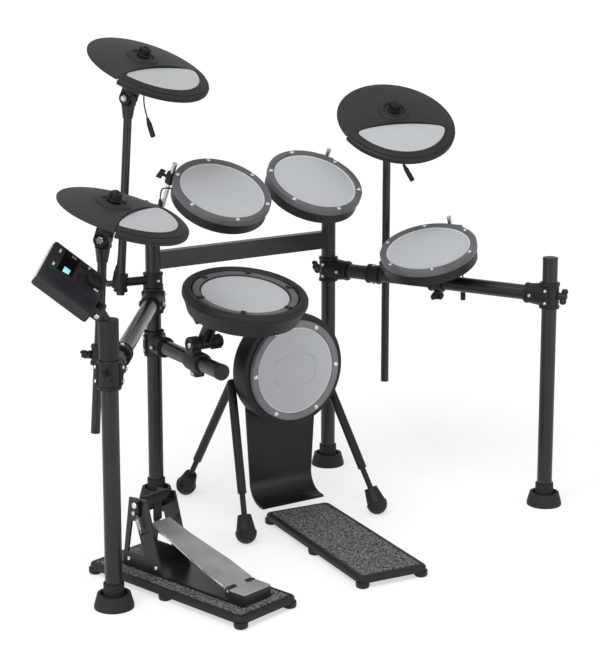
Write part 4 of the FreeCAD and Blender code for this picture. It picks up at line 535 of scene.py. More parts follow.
mesh_grey = (0.395, 0.41, 0.42)
thread_pitch = 0.0009
rock_depth = 0.020
disc_offset = 0.028
rim_width = 0.0276
arch_radius = 0.420
arch_middle = 0.046 + arch_radius
joint_gap = 0.0006
lens_middle = 0.095
lens_level = -0.0064
lens_rounding = 11
bow_drop = 0.014
bell_hole = 0.026
rim_angle = math.radians(72.6)
riser_angle = math.radians(19.0)
rim_section = [(0.0276, -0.0086), (0.0276, -0.0056), (0.0266, -0.0044), (0.0244, -0.0043), (0.0234, -0.0054),
               (0.0224, -0.0056), (0.0212, -0.005), (0.013, -0.0072), (0.0088, -0.0088), (0.0077, -0.0101),
               (0.0065, -0.0105), (0.0055, -0.0101), (0.0022, -0.0116), (0.0002, -0.0136), (-0.0008, -0.016),
               (-0.0008, -0.0178), (0.0002, -0.0186), (-0.0006, -0.0196), (-0.0002, -0.0235),
               (0.0022, -0.0262), (0.0055, -0.0272), (0.0085, -0.0272), (0.0085, -0.016), (0.0225, -0.011)]


def bow_edge(angle, disc_radius):
    """Distance from the hole to the bow's edge: its round outside or the arched joint with the rim."""
    side_step = disc_offset * math.sin(angle)
    outside = disc_offset * math.cos(angle) + math.sqrt(disc_radius ** 2 - side_step ** 2)
    run = arch_middle * math.cos(angle)
    miss = arch_middle ** 2 - (arch_radius + joint_gap) ** 2
    if run > 0 and run ** 2 > miss:
        return min(outside, run - math.sqrt(run ** 2 - miss))
    return outside


def lens_edge(angle, round_radius, rounding):
    """Distance from the lens's middle to its edge, with the corners of its two arcs rounded."""
    shift = lens_middle - disc_offset
    outside = -shift * math.cos(angle) + math.sqrt(round_radius ** 2 - (shift * math.sin(angle)) ** 2)
    arch_shift = arch_middle - lens_middle
    inside_radius = arch_radius - 2 * joint_gap
    arch = arch_shift * math.cos(angle) + math.sqrt(inside_radius ** 2 - (arch_shift * math.sin(angle)) ** 2)
    return (outside ** -rounding + arch ** -rounding) ** (-1 / rounding)


def lens_block(shape, round_radius, rounding, thickness, place):
    """Flat block on the lens's outline, hanging below its place."""
    held = set(shape.verts)
    made = bmesh.ops.create_circle(shape, cap_ends=True, radius=1.0, segments=180)["verts"]
    for vert in made:
        vert.co *= lens_edge(math.atan2(vert.co.y, vert.co.x), round_radius, rounding)
    faces = list({face for vert in made for face in vert.link_faces})
    bmesh.ops.inset_region(shape, faces=faces, thickness=0.0016, depth=0.0006)
    made = [vert for vert in shape.verts if vert not in held]
    faces = list({face for vert in made for face in vert.link_faces})
    lift = bmesh.ops.extrude_face_region(shape, geom=faces)
    lower = [item for item in lift["geom"] if isinstance(item, bmesh.types.BMVert)]
    bmesh.ops.translate(shape, verts=lower, vec=(0, 0, -thickness))
    bmesh.ops.transform(shape, matrix=place, verts=[vert for vert in shape.verts if vert not in held])


for cymbal, disc_radius in (("crash", 0.156), ("ride", 0.156), ("hihat", 0.150)):
    hinge = Vector(joints[cymbal + "_tilt"]["pos_m"])
    rock_centre = Vector(joints[cymbal + "_rock"]["pos_m"])
    stud_way = (rock_centre - hinge).normalized()
    reach = (rock_centre - hinge).length + rock_depth
    across = Vector(joints[cymbal + "_rock"]["axis"]).normalized()
    pad_place = Matrix((across.cross(stud_way), across, stud_way)).transposed().to_4x4()
    pad_place.translation = hinge + stud_way * reach
    tilt_axis = Vector(joints[cymbal + "_tilt"]["axis"]).normalized()
    tilt_place = Matrix((tilt_axis.cross(stud_way), tilt_axis, stud_way)).transposed().to_4x4()
    tilt_place.translation = hinge
    disc_place = pad_place @ Matrix.Translation((disc_offset, 0, 0))

    bow_shape = bmesh.new()
    bow_rings = 20
    strip = [bow_shape.verts.new((1 + step / bow_rings, 0, 0)) for step in range(bow_rings + 1)]
    spoke = [bow_shape.edges.new(pair) for pair in zip(strip, strip[1:])]
    bmesh.ops.spin(bow_shape, geom=strip + spoke, cent=(0, 0, 0), axis=(0, 0, 1), dvec=(0, 0, 0),
                   angle=math.tau, steps=240, use_merge=True)
    for vert in bow_shape.verts:
        share = math.hypot(vert.co.x, vert.co.y) - 1
        angle = math.atan2(vert.co.y, vert.co.x)
        radius = bell_hole + (bow_edge(angle, disc_radius) - bell_hole) * share
        vert.co.x = radius * math.cos(angle)
        vert.co.y = radius * math.sin(angle)
        from_middle = math.hypot(vert.co.x - disc_offset, vert.co.y)
        vert.co.z = joint_gap - bow_drop * (from_middle / disc_radius) ** 2.5
    bmesh.ops.recalc_face_normals(bow_shape, faces=bow_shape.faces)
    bmesh.ops.solidify(bow_shape, geom=bow_shape.faces[:], thickness=0.0022)
    bmesh.ops.transform(bow_shape, matrix=pad_place, verts=bow_shape.verts)
    bow = finished_piece(cymbal + "_bow_skin", bow_shape, bow_rubber, cymbal + "_cymbal", 50.0)
    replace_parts(bow, cymbal + "_bow")

    bell_shape = bmesh.new()
    bell_outline = [(0.0268, -0.002), (0.0268, 0.0046), (0.0276, 0.0056), (0.0355, 0.0056), (0.0378, 0.0046),
                    (0.0412, 0.0012), (0.0416, 0.0002), (0.0416, -0.002)]
    lathe(bell_shape, bell_outline, pad_place, 96)
    cup_outline = [(0.0103, -0.002), (0.0103, 0.0022), (0.0112, 0.003), (0.0255, 0.003), (0.027, 0.0016),
                   (0.027, -0.002)]
    lathe(bell_shape, cup_outline, pad_place, 96)
    finished_piece(cymbal + "_bell_ring", bell_shape, rim_rubber, cymbal + "_cymbal")

    hub_outline = [(0.0103, -0.036), (0.0103, -0.0012), (0.027, -0.0012), (0.027, -0.033), (0.0245, -0.036)]
    hub_shape = bmesh.new()
    lathe(hub_shape, hub_outline, pad_place)
    bar(hub_shape, (0.02, -0.0085, -0.0262), (0.056, 0.0085, -0.0202), pad_place, 0.0015)
    finished_piece(cymbal + "_hub", hub_shape, rim_rubber, cymbal + "_cymbal")

    rim_shape = bmesh.new()
    rim_outline = [(disc_radius - inset, height) for inset, height in rim_section]
    lathe(rim_shape, rim_outline, disc_place, 110, -rim_angle, 2 * rim_angle)
    tub_place = pad_place @ Matrix.Translation((lens_middle, 0, -0.0088))
    lens_block(rim_shape, disc_radius - 0.007, 40, 0.0186, tub_place)
    grommet = [(0.0, 0.0), (0.0068, 0.0), (0.0064, 0.0095), (0.0042, 0.0108), (0.0, 0.0108)]
    lathe(rim_shape, grommet, pad_place @ aimed((0.034, 0.004, -0.0266), (0, 0, -1)), 28)
    finished_piece(cymbal + "_rim", rim_shape, rim_rubber, cymbal + "_cymbal", 40.0)

    riser_shape = bmesh.new()
    riser_outline = [(arch_radius - 0.0002, -0.017), (arch_radius + 0.003, -0.017),
                     (arch_radius + 0.003, 0.0), (arch_radius - 0.0002, 0.0)]
    lathe(riser_shape, riser_outline, Matrix.Translation((arch_middle, 0, 0)), 60, math.pi - riser_angle,
          2 * riser_angle)
    for vert in riser_shape.verts:
        if vert.co.z > -0.01:
            from_middle = math.hypot(vert.co.x - disc_offset, vert.co.y)
            vert.co.z = -joint_gap - bow_drop * (from_middle / disc_radius) ** 2.5
    bmesh.ops.transform(riser_shape, matrix=pad_place, verts=riser_shape.verts)
    finished_piece(cymbal + "_riser", riser_shape, rim_rubber, cymbal + "_cymbal")

    lens_shape = bmesh.new()
    lens_block(lens_shape, disc_radius - rim_width - 0.0006, lens_rounding, 0.0016,
               pad_place @ Matrix.Translation((lens_middle, 0, lens_level)))
    lens_cloth = woven(cymbal + "_lens_cloth", mesh_grey, thread_pitch, pad_place)
    lens = finished_piece(cymbal + "_lens", lens_shape, lens_cloth, cymbal + "_cymbal")
    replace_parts(lens, cymbal + "_mesh")

    tilter_shape = bmesh.new()
    housing = [(0.0, 0.0185), (0.0165, 0.0185), (0.0195, 0.0196), (0.0243, 0.0318), (0.025, 0.0345),
               (0.024, 0.0368), (0.0215, 0.0376), (0.013, 0.0384), (0.0095, 0.0405), (0.0085, 0.0435),
               (0.006, 0.0445), (0.006, reach + 0.0285), (0.0048, reach + 0.03), (0.0, reach + 0.03)]
    lathe(tilter_shape, housing, tilt_place)
    for side in (-1, 1):
        near = min(side * 0.0084, side * 0.0174)
        bar(tilter_shape, (-0.0166, near, 0.0), (0.0166, near + 0.009, 0.0245), tilt_place, 0.0025)
        cheek = [(0.0, 0.0), (0.0158, 0.0), (0.0168, 0.001), (0.0168, 0.008), (0.0158, 0.009), (0.0, 0.009)]
        lathe(tilter_shape, cheek, tilt_place @ aimed((0, near, 0), (0, 1, 0)), 48)
    rocker = 0.0097
    rocker_arc = [(rocker * math.cos(math.radians(angle)), rocker * math.sin(math.radians(angle)))
                  for angle in range(-75, 90, 15)]
    rocker_outline = [(0.0, -rocker)] + rocker_arc + [(0.0, rocker)]
    lathe(tilter_shape, rocker_outline, tilt_place @ Matrix.Translation((0, 0, reach - rock_depth)), 40)
    tilter = finished_piece(cymbal + "_tilter_body", tilter_shape, nylon, cymbal + "_tilter")
    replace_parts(tilter, cymbal + "_tilter")

    bolt_shape = bmesh.new()
    for side, flats in ((-1, 6), (1, 32)):
        bolt = [(0.0, 0.0), (0.0088, 0.0), (0.0088, 0.0012), (0.0074, 0.0013), (0.0074, 0.004),
                (0.0066, 0.005), (0.0, 0.005)]
        lathe(bolt_shape, bolt, tilt_place @ aimed((0, side * 0.0172, 0), (0, side, 0)), flats)
    finished_piece(cymbal + "_tilter_bolt", bolt_shape, bright_steel, cymbal + "_tilter")

    nut_shape = bmesh.new()
    nut_place = tilt_place @ Matrix.Translation((0, 0, reach + 0.005))
    felt = [(0.0, 0.0), (0.0162, 0.0), (0.017, 0.0012), (0.017, 0.0038), (0.016, 0.005), (0.0, 0.005)]
    lathe(nut_shape, felt, nut_place, 48)
    core = [(0.0, 0.004), (0.0138, 0.004), (0.0132, 0.0195), (0.0122, 0.0213), (0.0102, 0.022),
            (0.0066, 0.022), (0.0062, 0.0212), (0.0, 0.0212)]
    lathe(nut_shape, core, nut_place, 48)
    rib_count = 20
    for rib in range(rib_count):
        turn = Matrix.Rotation(math.tau * rib / rib_count, 4, "Z")
        bar(nut_shape, (0.0118, -0.0011, 0.0055), (0.0147, 0.0011, 0.0195), nut_place @ turn, 0.0005)
    finished_piece(cymbal + "_stop_nut", nut_shape, nylon, cymbal + "_tilter")


# Drum pads: a black moulded cup, a woven mesh head and a grey moulded hoop held down by six bright screws.
# A thin paler flesh ring shows between hoop and playing surface, dark on the snare as a painted shadow; the
# snare's hoop has six dark tabs instead.
def flat_place(node_name):
    """Place of a flat round CAD piece: its middle, its facing, and a level X axis."""
    low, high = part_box(node_name)
    widest = max(nodes[node_name].data.polygons, key=lambda polygon: polygon.area)
    facing = widest.normal.copy()
    if facing.dot(Vector((0, -1, 2))) < 0:
        facing.negate()
    level = Vector((0, 0, 1)).cross(facing).normalized()
    place = Matrix((level, facing.cross(level), facing)).transposed().to_4x4()
    place.translation = (Vector(low) + Vector(high)) / 2
    return place


hoop_grey = moulded("grey_hoop", (0.088, 0.092, 0.095), 0.4, 1300.0, 0.0002)
speckled_grey = moulded("speckled_hoop", (0.15, 0.158, 0.163), 0.45, 900.0, 0.0004)
shell_black = moulded("black_pad_shell", (0.011, 0.011, 0.0115), 0.46, 1500.0, 0.00018)
lip_rubber = moulded("snare_lip_rubber", (0.013, 0.013, 0.0135), 0.55, 1200.0, 0.0002)
flesh_grey = moulded("flesh_ring", (0.5, 0.515, 0.525), 0.55, 1500.0, 0.0001, drift=0.06)
screw_circle = 0.1165
screw_count = 6
pad_finishes = {
    "tom1": ("tom1", 22.0, hoop_grey), "tom2": ("tom2", 33.0, hoop_grey), "tom3": ("tom3", 0.0, hoop_grey),
    "snare": ("snare", -3.0, hoop_grey), "kick": ("rack", 0.0, speckled_grey),
}
snare_outline = [(0.0, -0.0482), (0.128, -0.0482), (0.1315, -0.0472), (0.1335, -0.0448), (0.1452, -0.0135),
                 (0.1464, -0.0116), (0.1478, -0.0106), (0.1489, -0.0085), (0.1492, -0.0035),
                 (0.1485, -0.0028), (0.1485, -0.002), (0.1492, -0.0013), (0.1487, 0.0026), (0.1468, 0.006),
                 (0.1434, 0.0084), (0.139, 0.0094), (0.1342, 0.0094), (0.1304, 0.008), (0.128, 0.0052),
                 (0.1272, 0.0015), (0.1272, -0.0108), (0.1222, -0.0112), (0.1222, -0.0024), (0.116, -0.0024),
                 (0.116, -0.043), (0.0, -0.043)]
barrel_outline = [(0.1258, -0.0068), (0.1382, -0.0065), (0.1404, -0.0074), (0.1414, -0.0096),
                  (0.1414, -0.0565), (0.1406, -0.0632), (0.1388, -0.0662), (0.1258, -0.0662)]
for pad, (body, first_screw, hoop_finish) in pad_finishes.items():
    place = flat_place(pad + "_head") @ Matrix.Translation((0, 0, 0.001))
    dress(pad + "_head", woven(pad + "_head_cloth", mesh_grey, thread_pitch, place))
    if pad == "snare":
        cup_shape = bmesh.new()
        lathe(cup_shape, snare_outline, place, 128)
        across = left_rear.x - place.translation.x
        bar(cup_shape, (across - 0.022, 0.083, -0.072), (across + 0.022, 0.109, -0.046), place, 0.001)
        barrel = [(0.0075, 0.0), (0.0122, 0.0), (0.013, 0.0008), (0.013, 0.0432), (0.0122, 0.044),
                  (0.0075, 0.044)]
        lathe(cup_shape, barrel, place @ aimed((across - 0.022, 0.096, -0.072), (1, 0, 0)), 40)
        cup = finished_piece("snare_cup", cup_shape, lip_rubber, body)
        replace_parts(cup, "snare_shell")
    else:
        dress(pad + "_shell", shell_black)
    if pad == "kick":
        turned_piece("kick_barrel", barrel_outline, place, shell_black, body, 128)
    hoop_outline = [(0.1082, 0.0001), (0.1082, 0.003), (0.1092, 0.0044), (0.111, 0.0052), (0.1222, 0.0052),
                    (0.1242, 0.0045), (0.1251, 0.003), (0.1251, -0.0104), (0.1245, -0.011), (0.1224, -0.011),
                    (0.1224, 0.0001)]
    hoop = turned_piece(pad + "_hoop_ring", hoop_outline, place, hoop_finish, body, 128)
    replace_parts(hoop, pad + "_hoop")
    flesh_and_shadow_outline = [(0.104, 0.0), (0.1045, 0.0005), (0.1078, 0.0009), (0.1083, 0.0004), (0.1083, 0.0)]
    # On the snare the ring takes the dark lip rubber: a painted shadow between hoop and head.
    flesh_tone_and_painted_shadow = lip_rubber if pad == "snare" else flesh_grey
    turned_piece(pad + "_flesh_and_painted_shadow_ring", flesh_and_shadow_outline, place, flesh_tone_and_painted_shadow, body, 128)
    fastener_shape = bmesh.new()
    for screw in range(screw_count):
        turn = Matrix.Rotation(math.radians(first_screw + 360.0 * screw / screw_count), 4, "Z")
        spot = place @ turn @ Matrix.Translation((screw_circle, 0.0, 0.0))
        if pad == "snare":
            bar(fastener_shape, (-0.0072, -0.006, 0.004), (0.0085, 0.006, 0.0082), spot, 0.0014)
        else:
            washer = [(0.0, 0.0048), (0.0056, 0.0048), (0.0056, 0.0056), (0.0052, 0.006), (0.0044, 0.006),
                      (0.0043, 0.0068), (0.0034, 0.008), (0.002, 0.0083), (0.0018, 0.0072), (0.0, 0.0072)]
            lathe(fastener_shape, washer, spot, 20)
    fastener_finish = nylon if pad == "snare" else bright_steel
    finished_piece(pad + "_fasteners", fastener_shape, fastener_finish, body)
for node_name in ("tom1_rod", "tom2_rod", "tom3_rod"):
    dress(node_name, bright_steel)


# Kick tower: a bent steel plate carries the kick pad, with a cross bar and four tubular legs behind it.
# The pad's head carries a dashed oval, printed as a target for the beater.
dress("kick_stand", moulded("black_stand_coat", (0.009, 0.009, 0.0095), 0.34, 700.0, 0.0001))
target_ink = moulded("target_ink", (0.26, 0.27, 0.275), 0.6, 1500.0, 0.00005)
kick_place = flat_place("kick_head") @ Matrix.Translation((0, 0, 0.001))
target_shape = bmesh.new()
dash_count = 58


def target_spot(angle):
    """Point of the rounded oval at an angle."""
    half = 0.059
    rise = 0.039
    squareness = 0.6
    x = math.copysign(abs(math.cos(angle)) ** squareness * half, math.cos(angle))
    y = math.copysign(abs(math.sin(angle)) ** squareness * rise, math.sin(angle))
    return Vector((x, y, 0.0))


for dash in range(dash_count):
    angle = math.tau * (dash + 0.5) / dash_count
    run = target_spot(angle + 0.01) - target_spot(angle - 0.01)
    turn = Matrix.Rotation(math.atan2(run.y, run.x), 4, "Z")
    dash_place = kick_place @ Matrix.Translation(target_spot(angle)) @ turn
    bar(target_shape, (-0.0017, -0.0006, -0.0002), (0.0017, 0.0006, 0.0003), dash_place, 0.0001)
finished_piece("kick_target", target_shape, target_ink, "rack")


# Floor trays: shallow black moulded trays on six round feet, each with a dark flecked needle-felt mat.
# The border slopes to the mat, and the mat's short pile mixes black and grey fibres.
tray_plastic = moulded("black_tray_plastic", (0.011, 0.011, 0.0115), 0.5, 900.0, 0.0003)
carpet, felt_tree, felt_shader = new_material("flecked_felt", Roughness=0.95, Specular_IOR_Level=0.15)
felt_spots = new_node(felt_tree, "TexCoord")
fleck = new_node(felt_tree, "TexNoise", Scale=260.0, Detail=6.0, Roughness=0.75)
fleck_shade = two_shades(felt_tree, (0.44, 0.62), [(0.01, 0.01, 0.011), (0.26, 0.265, 0.275)])
pile = new_node(felt_tree, "Bump", Strength=0.8, Distance=0.0015)
link(felt_tree, (felt_spots, "Object", fleck, "Vector"), (fleck, "Fac", fleck_shade, "Fac"),
     (fleck_shade, "Color", felt_shader, "Base Color"), (fleck, "Fac", pile, "Height"),
     (pile, "Normal", felt_shader, "Normal"))
dress("tray_mats", carpet)


def plate(shape, outline, thickness, place, corner, edge):
    """Flat plate on an outline, with round corners and softened edges."""
    held = set(shape.verts)
    face = shape.faces.new([shape.verts.new((x, y, 0.0)) for x, y in outline])
    if corner:
        bmesh.ops.bevel(shape, geom=face.verts[:], offset=corner, offset_type="OFFSET", affect="VERTICES",
                        segments=6, profile=0.5, material=-1)
    made = [vert for vert in shape.verts if vert not in held]
    faces = list({item for vert in made for item in vert.link_faces})
    lift = bmesh.ops.extrude_face_region(shape, geom=faces)
    lifted = [item for item in lift["geom"] if isinstance(item, bmesh.types.BMVert)]
    bmesh.ops.translate(shape, verts=lifted, vec=(0, 0, thickness))
    top_edges = [item for item in lift["geom"] if isinstance(item, bmesh.types.BMEdge)]
    bmesh.ops.bevel(shape, geom=top_edges, offset=edge, offset_type="OFFSET", affect="EDGES", segments=3,
                    profile=0.5, material=-1)
    bmesh.ops.transform(shape, matrix=place, verts=[vert for vert in shape.verts if vert not in held])


press = joints["footboard_press"]
up = Vector((0, 0, 1))
pedal_right = Vector(press["axis"]).normalized()
pedal_back = up.cross(pedal_right)
pedal_place = Matrix((pedal_right, pedal_back, up)).transposed().to_4x4()
pedal_place.translation = Vector(press["pos_m"]) + pedal_back * 0.158 - up * 0.052
kick_tray_turn = Matrix.Rotation(math.radians(-5.5), 4, "Z")
kick_tray_place = Matrix.Translation(kit_middle + Vector((-0.0611, -0.5575, 0.0))) @ kick_tray_turn
tray_half_width = 0.089
tray_half_length = 0.245
tray_outline = [(-tray_half_width, -tray_half_length), (tray_half_width, -tray_half_length),
                (tray_half_width, tray_half_length), (-tray_half_width, tray_half_length)]
foot_inset = 0.013
foot_outline = [(0.0, 0.0), (0.011, 0.0), (0.0146, 0.0022), (0.0158, 0.006), (0.0158, 0.0145), (0.0, 0.0145)]
tray_shape = bmesh.new()
for tray_place in (kick_tray_place, pedal_place):
    plate(tray_shape, tray_outline, 0.0145, tray_place @ Matrix.Translation((0, 0, 0.0135)), 0.016, 0.006)
bmesh.ops.recalc_face_normals(tray_shape, faces=tray_shape.faces)
tray_tops = [face for face in tray_shape.faces if face.normal.z > 0.9 and face.calc_area() > 0.05]
bmesh.ops.inset_region(tray_shape, faces=tray_tops, thickness=0.0055, depth=0.0)
bmesh.ops.inset_region(tray_shape, faces=tray_tops, thickness=0.002, depth=-0.004)
for tray_place in (kick_tray_place, pedal_place):
    for side in (-1, 1):
        for step in (-1, 0, 1):
            foot_spot = (side * (tray_half_width - foot_inset), step * (tray_half_length - foot_inset), 0)
            lathe(tray_shape, foot_outline, tray_place @ Matrix.Translation(foot_spot), 32)
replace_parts(finished_piece("tray_bodies", tray_shape, tray_plastic, "rack"), "floor_trays")


# Pedal: black pressed-steel uprights, a satin cast footboard and a plated pull spring on the left.
# The heel plate is a second casting screwed to the base, and the axle's drum winds the toe's strap.
satin_alloy = moulded("satin_alloy", (0.29, 0.297, 0.305), 0.46, 800.0, 0.00008, metallic=0.35, specular=0.5)
polished_edge = moulded("polished_edge", (0.55, 0.555, 0.56), 0.26, 1200.0, 0.00005, metallic=1.0, drift=0.1)
dress("pedal_frame", powder_coat)
dress("footboard", satin_alloy)
dress("pedal_axle", nylon)
board_tilt = Matrix.Rotation(math.radians(18.0), 4, "X")
board_place = pedal_place @ Matrix.Translation((0, -0.158, 0.052)) @ board_tilt
rail_shape = bmesh.new()
rail_run = [(0.041, 0.014), (0.041, 0.08), (0.030, 0.201), (0.030, 0.268)]
for side in (-1, 1):
    for (x_near, y_near), (x_far, y_far) in zip(rail_run, rail_run[1:]):
        start = Vector((side * x_near, y_near, 0.0035))
        end = Vector((side * x_far, y_far, 0.0035))
        rail = board_place @ aimed(start, end - start)
        rail_end = (end - start).length + 0.0006
        bar(rail_shape, (-0.0018, -0.0018, -0.0006), (0.0018, 0.0018, rail_end), rail, 0.0007)
finished_piece("footboard_rails", rail_shape, polished_edge, "footboard")
heel_shape = bmesh.new()
heel_outline = [(-0.0415, -0.2095), (0.0415, -0.2095), (0.0415, -0.164), (0.017, -0.164), (0.017, -0.1525),
                (-0.017, -0.1525), (-0.017, -0.164), (-0.0415, -0.164)]
plate(heel_shape, heel_outline, 0.0028, pedal_place @ Matrix.Translation((0, 0, 0.0545)), 0.004, 0.001)
finished_piece("heel_plate", heel_shape, satin_alloy, "rack")
pedal_screws = bmesh.new()
for side, spot_y, spot_z in ((-1, 0.132, 0.160), (-1, 0.060, 0.048), (1, 0.060, 0.048), (-1, 0.150, 0.048),
                             (1, 0.150, 0.048)):
    start = pedal_place @ Vector((side * 0.0458, spot_y, spot_z))
    cap_screw(pedal_screws, start, pedal_right * side, 0.0052)
hex_head = [(0.0, 0.0), (0.0078, 0.0), (0.0078, 0.0046), (0.007, 0.0054), (0.0, 0.0054)]
lathe(pedal_screws, hex_head, pedal_place @ aimed((0.0456, 0.1155, 0.185), (1, 0, 0)), 6)
finished_piece("pedal_screws", pedal_screws, bright_steel, "rack")
axle_shape = bmesh.new()
lathe(axle_shape, hex_head, pedal_place @ aimed((-0.0552, 0.1155, 0.185), (-1, 0, 0)), 6)
for side in (-1, 1):
    shaft = [(0.0, 0.0), (0.0056, 0.0), (0.0056, 0.0088), (0.0, 0.0088)]
    lathe(axle_shape, shaft, pedal_place @ aimed((side * 0.0322, 0.1155, 0.185), (side, 0, 0)), 32)
finished_piece("axle_ends", axle_shape, bright_steel, "pedal_axle")
peg = Vector((-0.0545, 0.099, 0.120))
pin = Vector((-0.0545, 0.1155, 0.163))
spring_way = (pin - peg).normalized()
spring_length = (pin - peg).length - 0.0036
spring_place = pedal_place @ aimed(peg + spring_way * 0.0018, spring_way)
spring_radius = 0.004
spring_turns = 12
leg_length = 0.008
turn_steps = 20
coil_steps = spring_turns * turn_steps
wire_spots = [Vector((0, 0, 0)), Vector((0, 0, leg_length / 2))]
for step in range(coil_steps + 1):
    angle = math.tau * step / turn_steps
    rise = leg_length + (spring_length - 2 * leg_length) * step / coil_steps
    wire_spots.append(Vector((spring_radius * math.cos(angle), spring_radius * math.sin(angle), rise)))
wire_spots += [Vector((0, 0, spring_length - leg_length / 2)), Vector((0, 0, spring_length))]
wire_radius = 0.0006
wire_run = [spring_place @ spot for spot in wire_spots]
spring_curve, _ = round_wire("pull_spring", "POLY", wire_run, wire_radius, 3)
spring_curve.materials.append(bright_steel)
spring = placed("pull_spring", spring_curve)
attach(spring, "rack")
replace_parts(spring, "pedal_spring")


# Sound module: a charcoal moulded case that leans towards the player, with a lit display, keys and a dial.
# A sloping ridge divides its smooth lower part from the panel, and a pale end cap closes its left side.
case_grey = moulded("charcoal_case", (0.022, 0.0225, 0.024), 0.46, 1500.0, 0.0002)
dress("module_case", case_grey)
module_up = Vector(joints["module_knob_turn"]["axis"]).normalized()
module_across = Vector(joints["module_tilt"]["axis"]).normalized()
dial_spot = Vector((0.0424, 0.0318, 0.0))
module_place = Matrix((module_across.cross(module_up), module_across, module_up)).transposed().to_4x4()
module_place.translation = Vector(joints["module_knob_turn"]["pos_m"])
module_place = module_place @ Matrix.Translation(-dial_spot)
bracket_screws = bmesh.new()
hinge = Vector(joints["module_tilt"]["pos_m"])
neck_foot = left_front + Vector((0, 0, 0.630))
near_side = -1 if module_across.dot(Vector((-0.54, -0.84, 0.0))) < 0 else 1
cap_screw(bracket_screws, neck_foot + (hinge - neck_foot) * 0.35 + module_across * near_side * 0.0128,
          module_across * near_side, 0.0056)
finished_piece("bracket_screws", bracket_screws, bright_steel, "left_wing")
hinge_bolt = bmesh.new()
cap_screw(hinge_bolt, hinge + module_across * near_side * 0.0232, module_across * near_side, 0.0056)
finished_piece("module_hinge_bolt", hinge_bolt, bright_steel, "module")
lower_shape = bmesh.new()
lower_outline = [(-0.068, -0.0785), (0.068, -0.0785), (0.068, 0.0125), (-0.066, -0.0255)]
plate(lower_shape, lower_outline, 0.0018, module_place, 0.002, 0.0012)
lower_finish = moulded("smooth_panel", (0.018, 0.0185, 0.022), 0.3, 1500.0, 0.00005)
finished_piece("module_lower_panel", lower_shape, lower_finish, "module")
window_shape = bmesh.new()
window_outline = [(-0.041, -0.0145), (-0.004, -0.004), (-0.004, 0.073), (-0.041, 0.073)]
plate(window_shape, window_outline, 0.0012, module_place, 0.0015, 0.0004)
window_black = moulded("window_black", (0.004, 0.004, 0.0045), 0.12, 400.0, 0.00002)
finished_piece("module_window", window_shape, window_black, "module")
screen, screen_tree, screen_shader = new_material("lit_display", Roughness=0.2, Emission_Strength=0.4)
screen_spots = new_node(screen_tree, "TexCoord")
screen_noise = new_node(screen_tree, "TexNoise", Scale=90.0)
screen_shade = two_shades(screen_tree, (0.0, 1.0), [(0.16, 0.5, 0.5), (0.42, 0.78, 0.76)])
link(screen_tree, (screen_spots, "Object", screen_noise, "Vector"),
     (screen_noise, "Fac", screen_shade, "Fac"), (screen_shade, "Color", screen_shader, "Base Color"),
     (screen_shade, "Color", screen_shader, "Emission Color"))
screen_shape = bmesh.new()
screen_outline = [(-0.028, -0.0095), (-0.0125, -0.0055), (-0.0125, 0.0135), (-0.028, 0.0135)]
plate(screen_shape, screen_outline, 0.0016, module_place, 0.0, 0.0002)
finished_piece("module_display", screen_shape, screen, "module")
key_shape = bmesh.new()
for x, y, half_x, half_y in (
        (0.006, 0.065, 0.0035, 0.002), (0.006, 0.058, 0.0035, 0.002), (0.010, 0.008, 0.005, 0.005),
        (0.010, 0.024, 0.005, 0.005), (0.016, 0.060, 0.004, 0.006), (0.030, 0.0085, 0.0045, 0.0045),
        (0.030, 0.066, 0.006, 0.0035), (0.052, 0.066, 0.006, 0.0035)):
    bar(key_shape, (x - half_x, y - half_y, -0.001), (x + half_x, y + half_y, 0.0026), module_place, 0.0012)
finished_piece("module_keys", key_shape, nylon, "module")
pale_plastic = moulded("pale_plastic", (0.5, 0.5, 0.5), 0.4, 1200.0, 0.0001, drift=0.06)
pale_shape = bmesh.new()
for x, y, half_x, half_y in (
        (0.0555, 0.011, 0.0055, 0.0032), (-0.0515, 0.056, 0.0022, 0.006), (-0.052, -0.005, 0.0024, 0.005),
        (0.022, 0.070, 0.002, 0.0034), (-0.022, 0.066, 0.0006, 0.004), (-0.018, 0.066, 0.0006, 0.004),
        (-0.014, 0.066, 0.0006, 0.004)):
    bar(pale_shape, (x - half_x, y - half_y, -0.001), (x + half_x, y + half_y, 0.0021), module_place, 0.0003)
bar(pale_shape, (-0.0722, -0.0755, -0.022), (-0.0702, 0.0755, -0.004), module_place, 0.0008)
finished_piece("module_pale_parts", pale_shape, pale_plastic, "module")
dress("module_knob", nylon)
dial_shape = bmesh.new()
dial_place = module_place @ Matrix.Translation(dial_spot)
skirt = [(0.0, 0.0004), (0.0196, 0.0004), (0.0202, 0.0012), (0.0198, 0.0088), (0.0186, 0.0098),
         (0.0128, 0.0098), (0.0118, 0.0092), (0.0, 0.0092)]
lathe(dial_shape, skirt, dial_place, 64)
grip_count = 36
for grip_rib in range(grip_count):
    turn = Matrix.Rotation(math.tau * grip_rib / grip_count, 4, "Z")
    bar(dial_shape, (0.0194, -0.0008, 0.0016), (0.0208, 0.0008, 0.0086), dial_place @ turn, 0.0003)
finished_piece("module_dial", dial_shape, nylon, "module_knob")

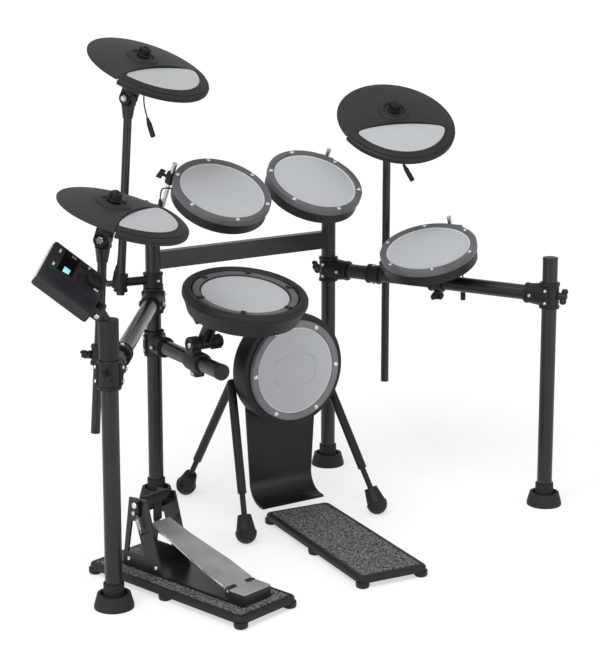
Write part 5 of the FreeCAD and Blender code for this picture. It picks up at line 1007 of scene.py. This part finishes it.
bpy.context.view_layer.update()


# Studio: one pale floor that runs out of sight, two soft strips beside the posts and an even white room.
# The room fills the shadows, and a broad soft sun from the upper left shapes the pads.
floor_shape = bmesh.new()
bmesh.ops.create_grid(floor_shape, x_segments=1, y_segments=1, size=70.0)
floor_mesh = bpy.data.meshes.new("studio_floor")
floor_shape.to_mesh(floor_mesh)
floor_shape.free()
floor = placed("studio_floor", floor_mesh)
paper_white = (0.92, 0.92, 0.92, 1.0)
paper, paper_tree, paper_shader = new_material("studio_paper", Base_Color=paper_white, Roughness=0.9,
                                               Specular_IOR_Level=0.0)
glow = new_node(paper_tree, "Emission")
ray = new_node(paper_tree, "LightPath")
seen = new_node(paper_tree, "Math", "ADD")
clear = new_node(paper_tree, "Math", "ADD")
share = new_node(paper_tree, "Math", "MULTIPLY")
share.inputs[1].default_value = 0.6
blend = new_node(paper_tree, "MixShader")
link(paper_tree, (ray, "Is Camera Ray", seen, 0), (ray, "Is Glossy Ray", seen, 1), (seen, "Value", clear, 0),
     (ray, "Is Transmission Ray", clear, 1), (clear, "Value", share, 0), (share, "Value", blend, "Fac"),
     (paper_shader, "BSDF", blend, 1), (glow, "Emission", blend, 2),
     (blend, "Shader", paper_tree.nodes["Material Output"], "Surface"))
floor_mesh.materials.append(paper)
world = bpy.data.worlds.new("studio_room")
bpy.context.scene.world = world
world.use_nodes = True
world.node_tree.nodes["Background"].inputs["Color"].default_value = (1.0, 1.0, 1.0, 1.0)
world.node_tree.nodes["Background"].inputs["Strength"].default_value = 0.7
key_data = bpy.data.lights.new("key", "SUN")
key_data.energy = 1.85
key_data.angle = math.radians(40.0)
key = placed("key", key_data)
key.rotation_euler = (math.radians(32.0), math.radians(-14.0), math.radians(-40.0))
for strip_name, strip_spot in (("left_strip", (-3.2, -1.4, 1.2)), ("right_strip", (1.6, -3.4, 1.2))):
    strip_data = bpy.data.lights.new(strip_name, "AREA")
    strip_data.shape = "RECTANGLE"
    strip_data.size = 0.5
    strip_data.size_y = 2.6
    strip_data.energy = 22.0
    strip = placed(strip_name, strip_data)
    strip.location = strip_spot
    strip.rotation_euler = Vector((-strip_spot[0], -strip_spot[1], 0.0)).to_track_quat("-Z", "Y").to_euler()
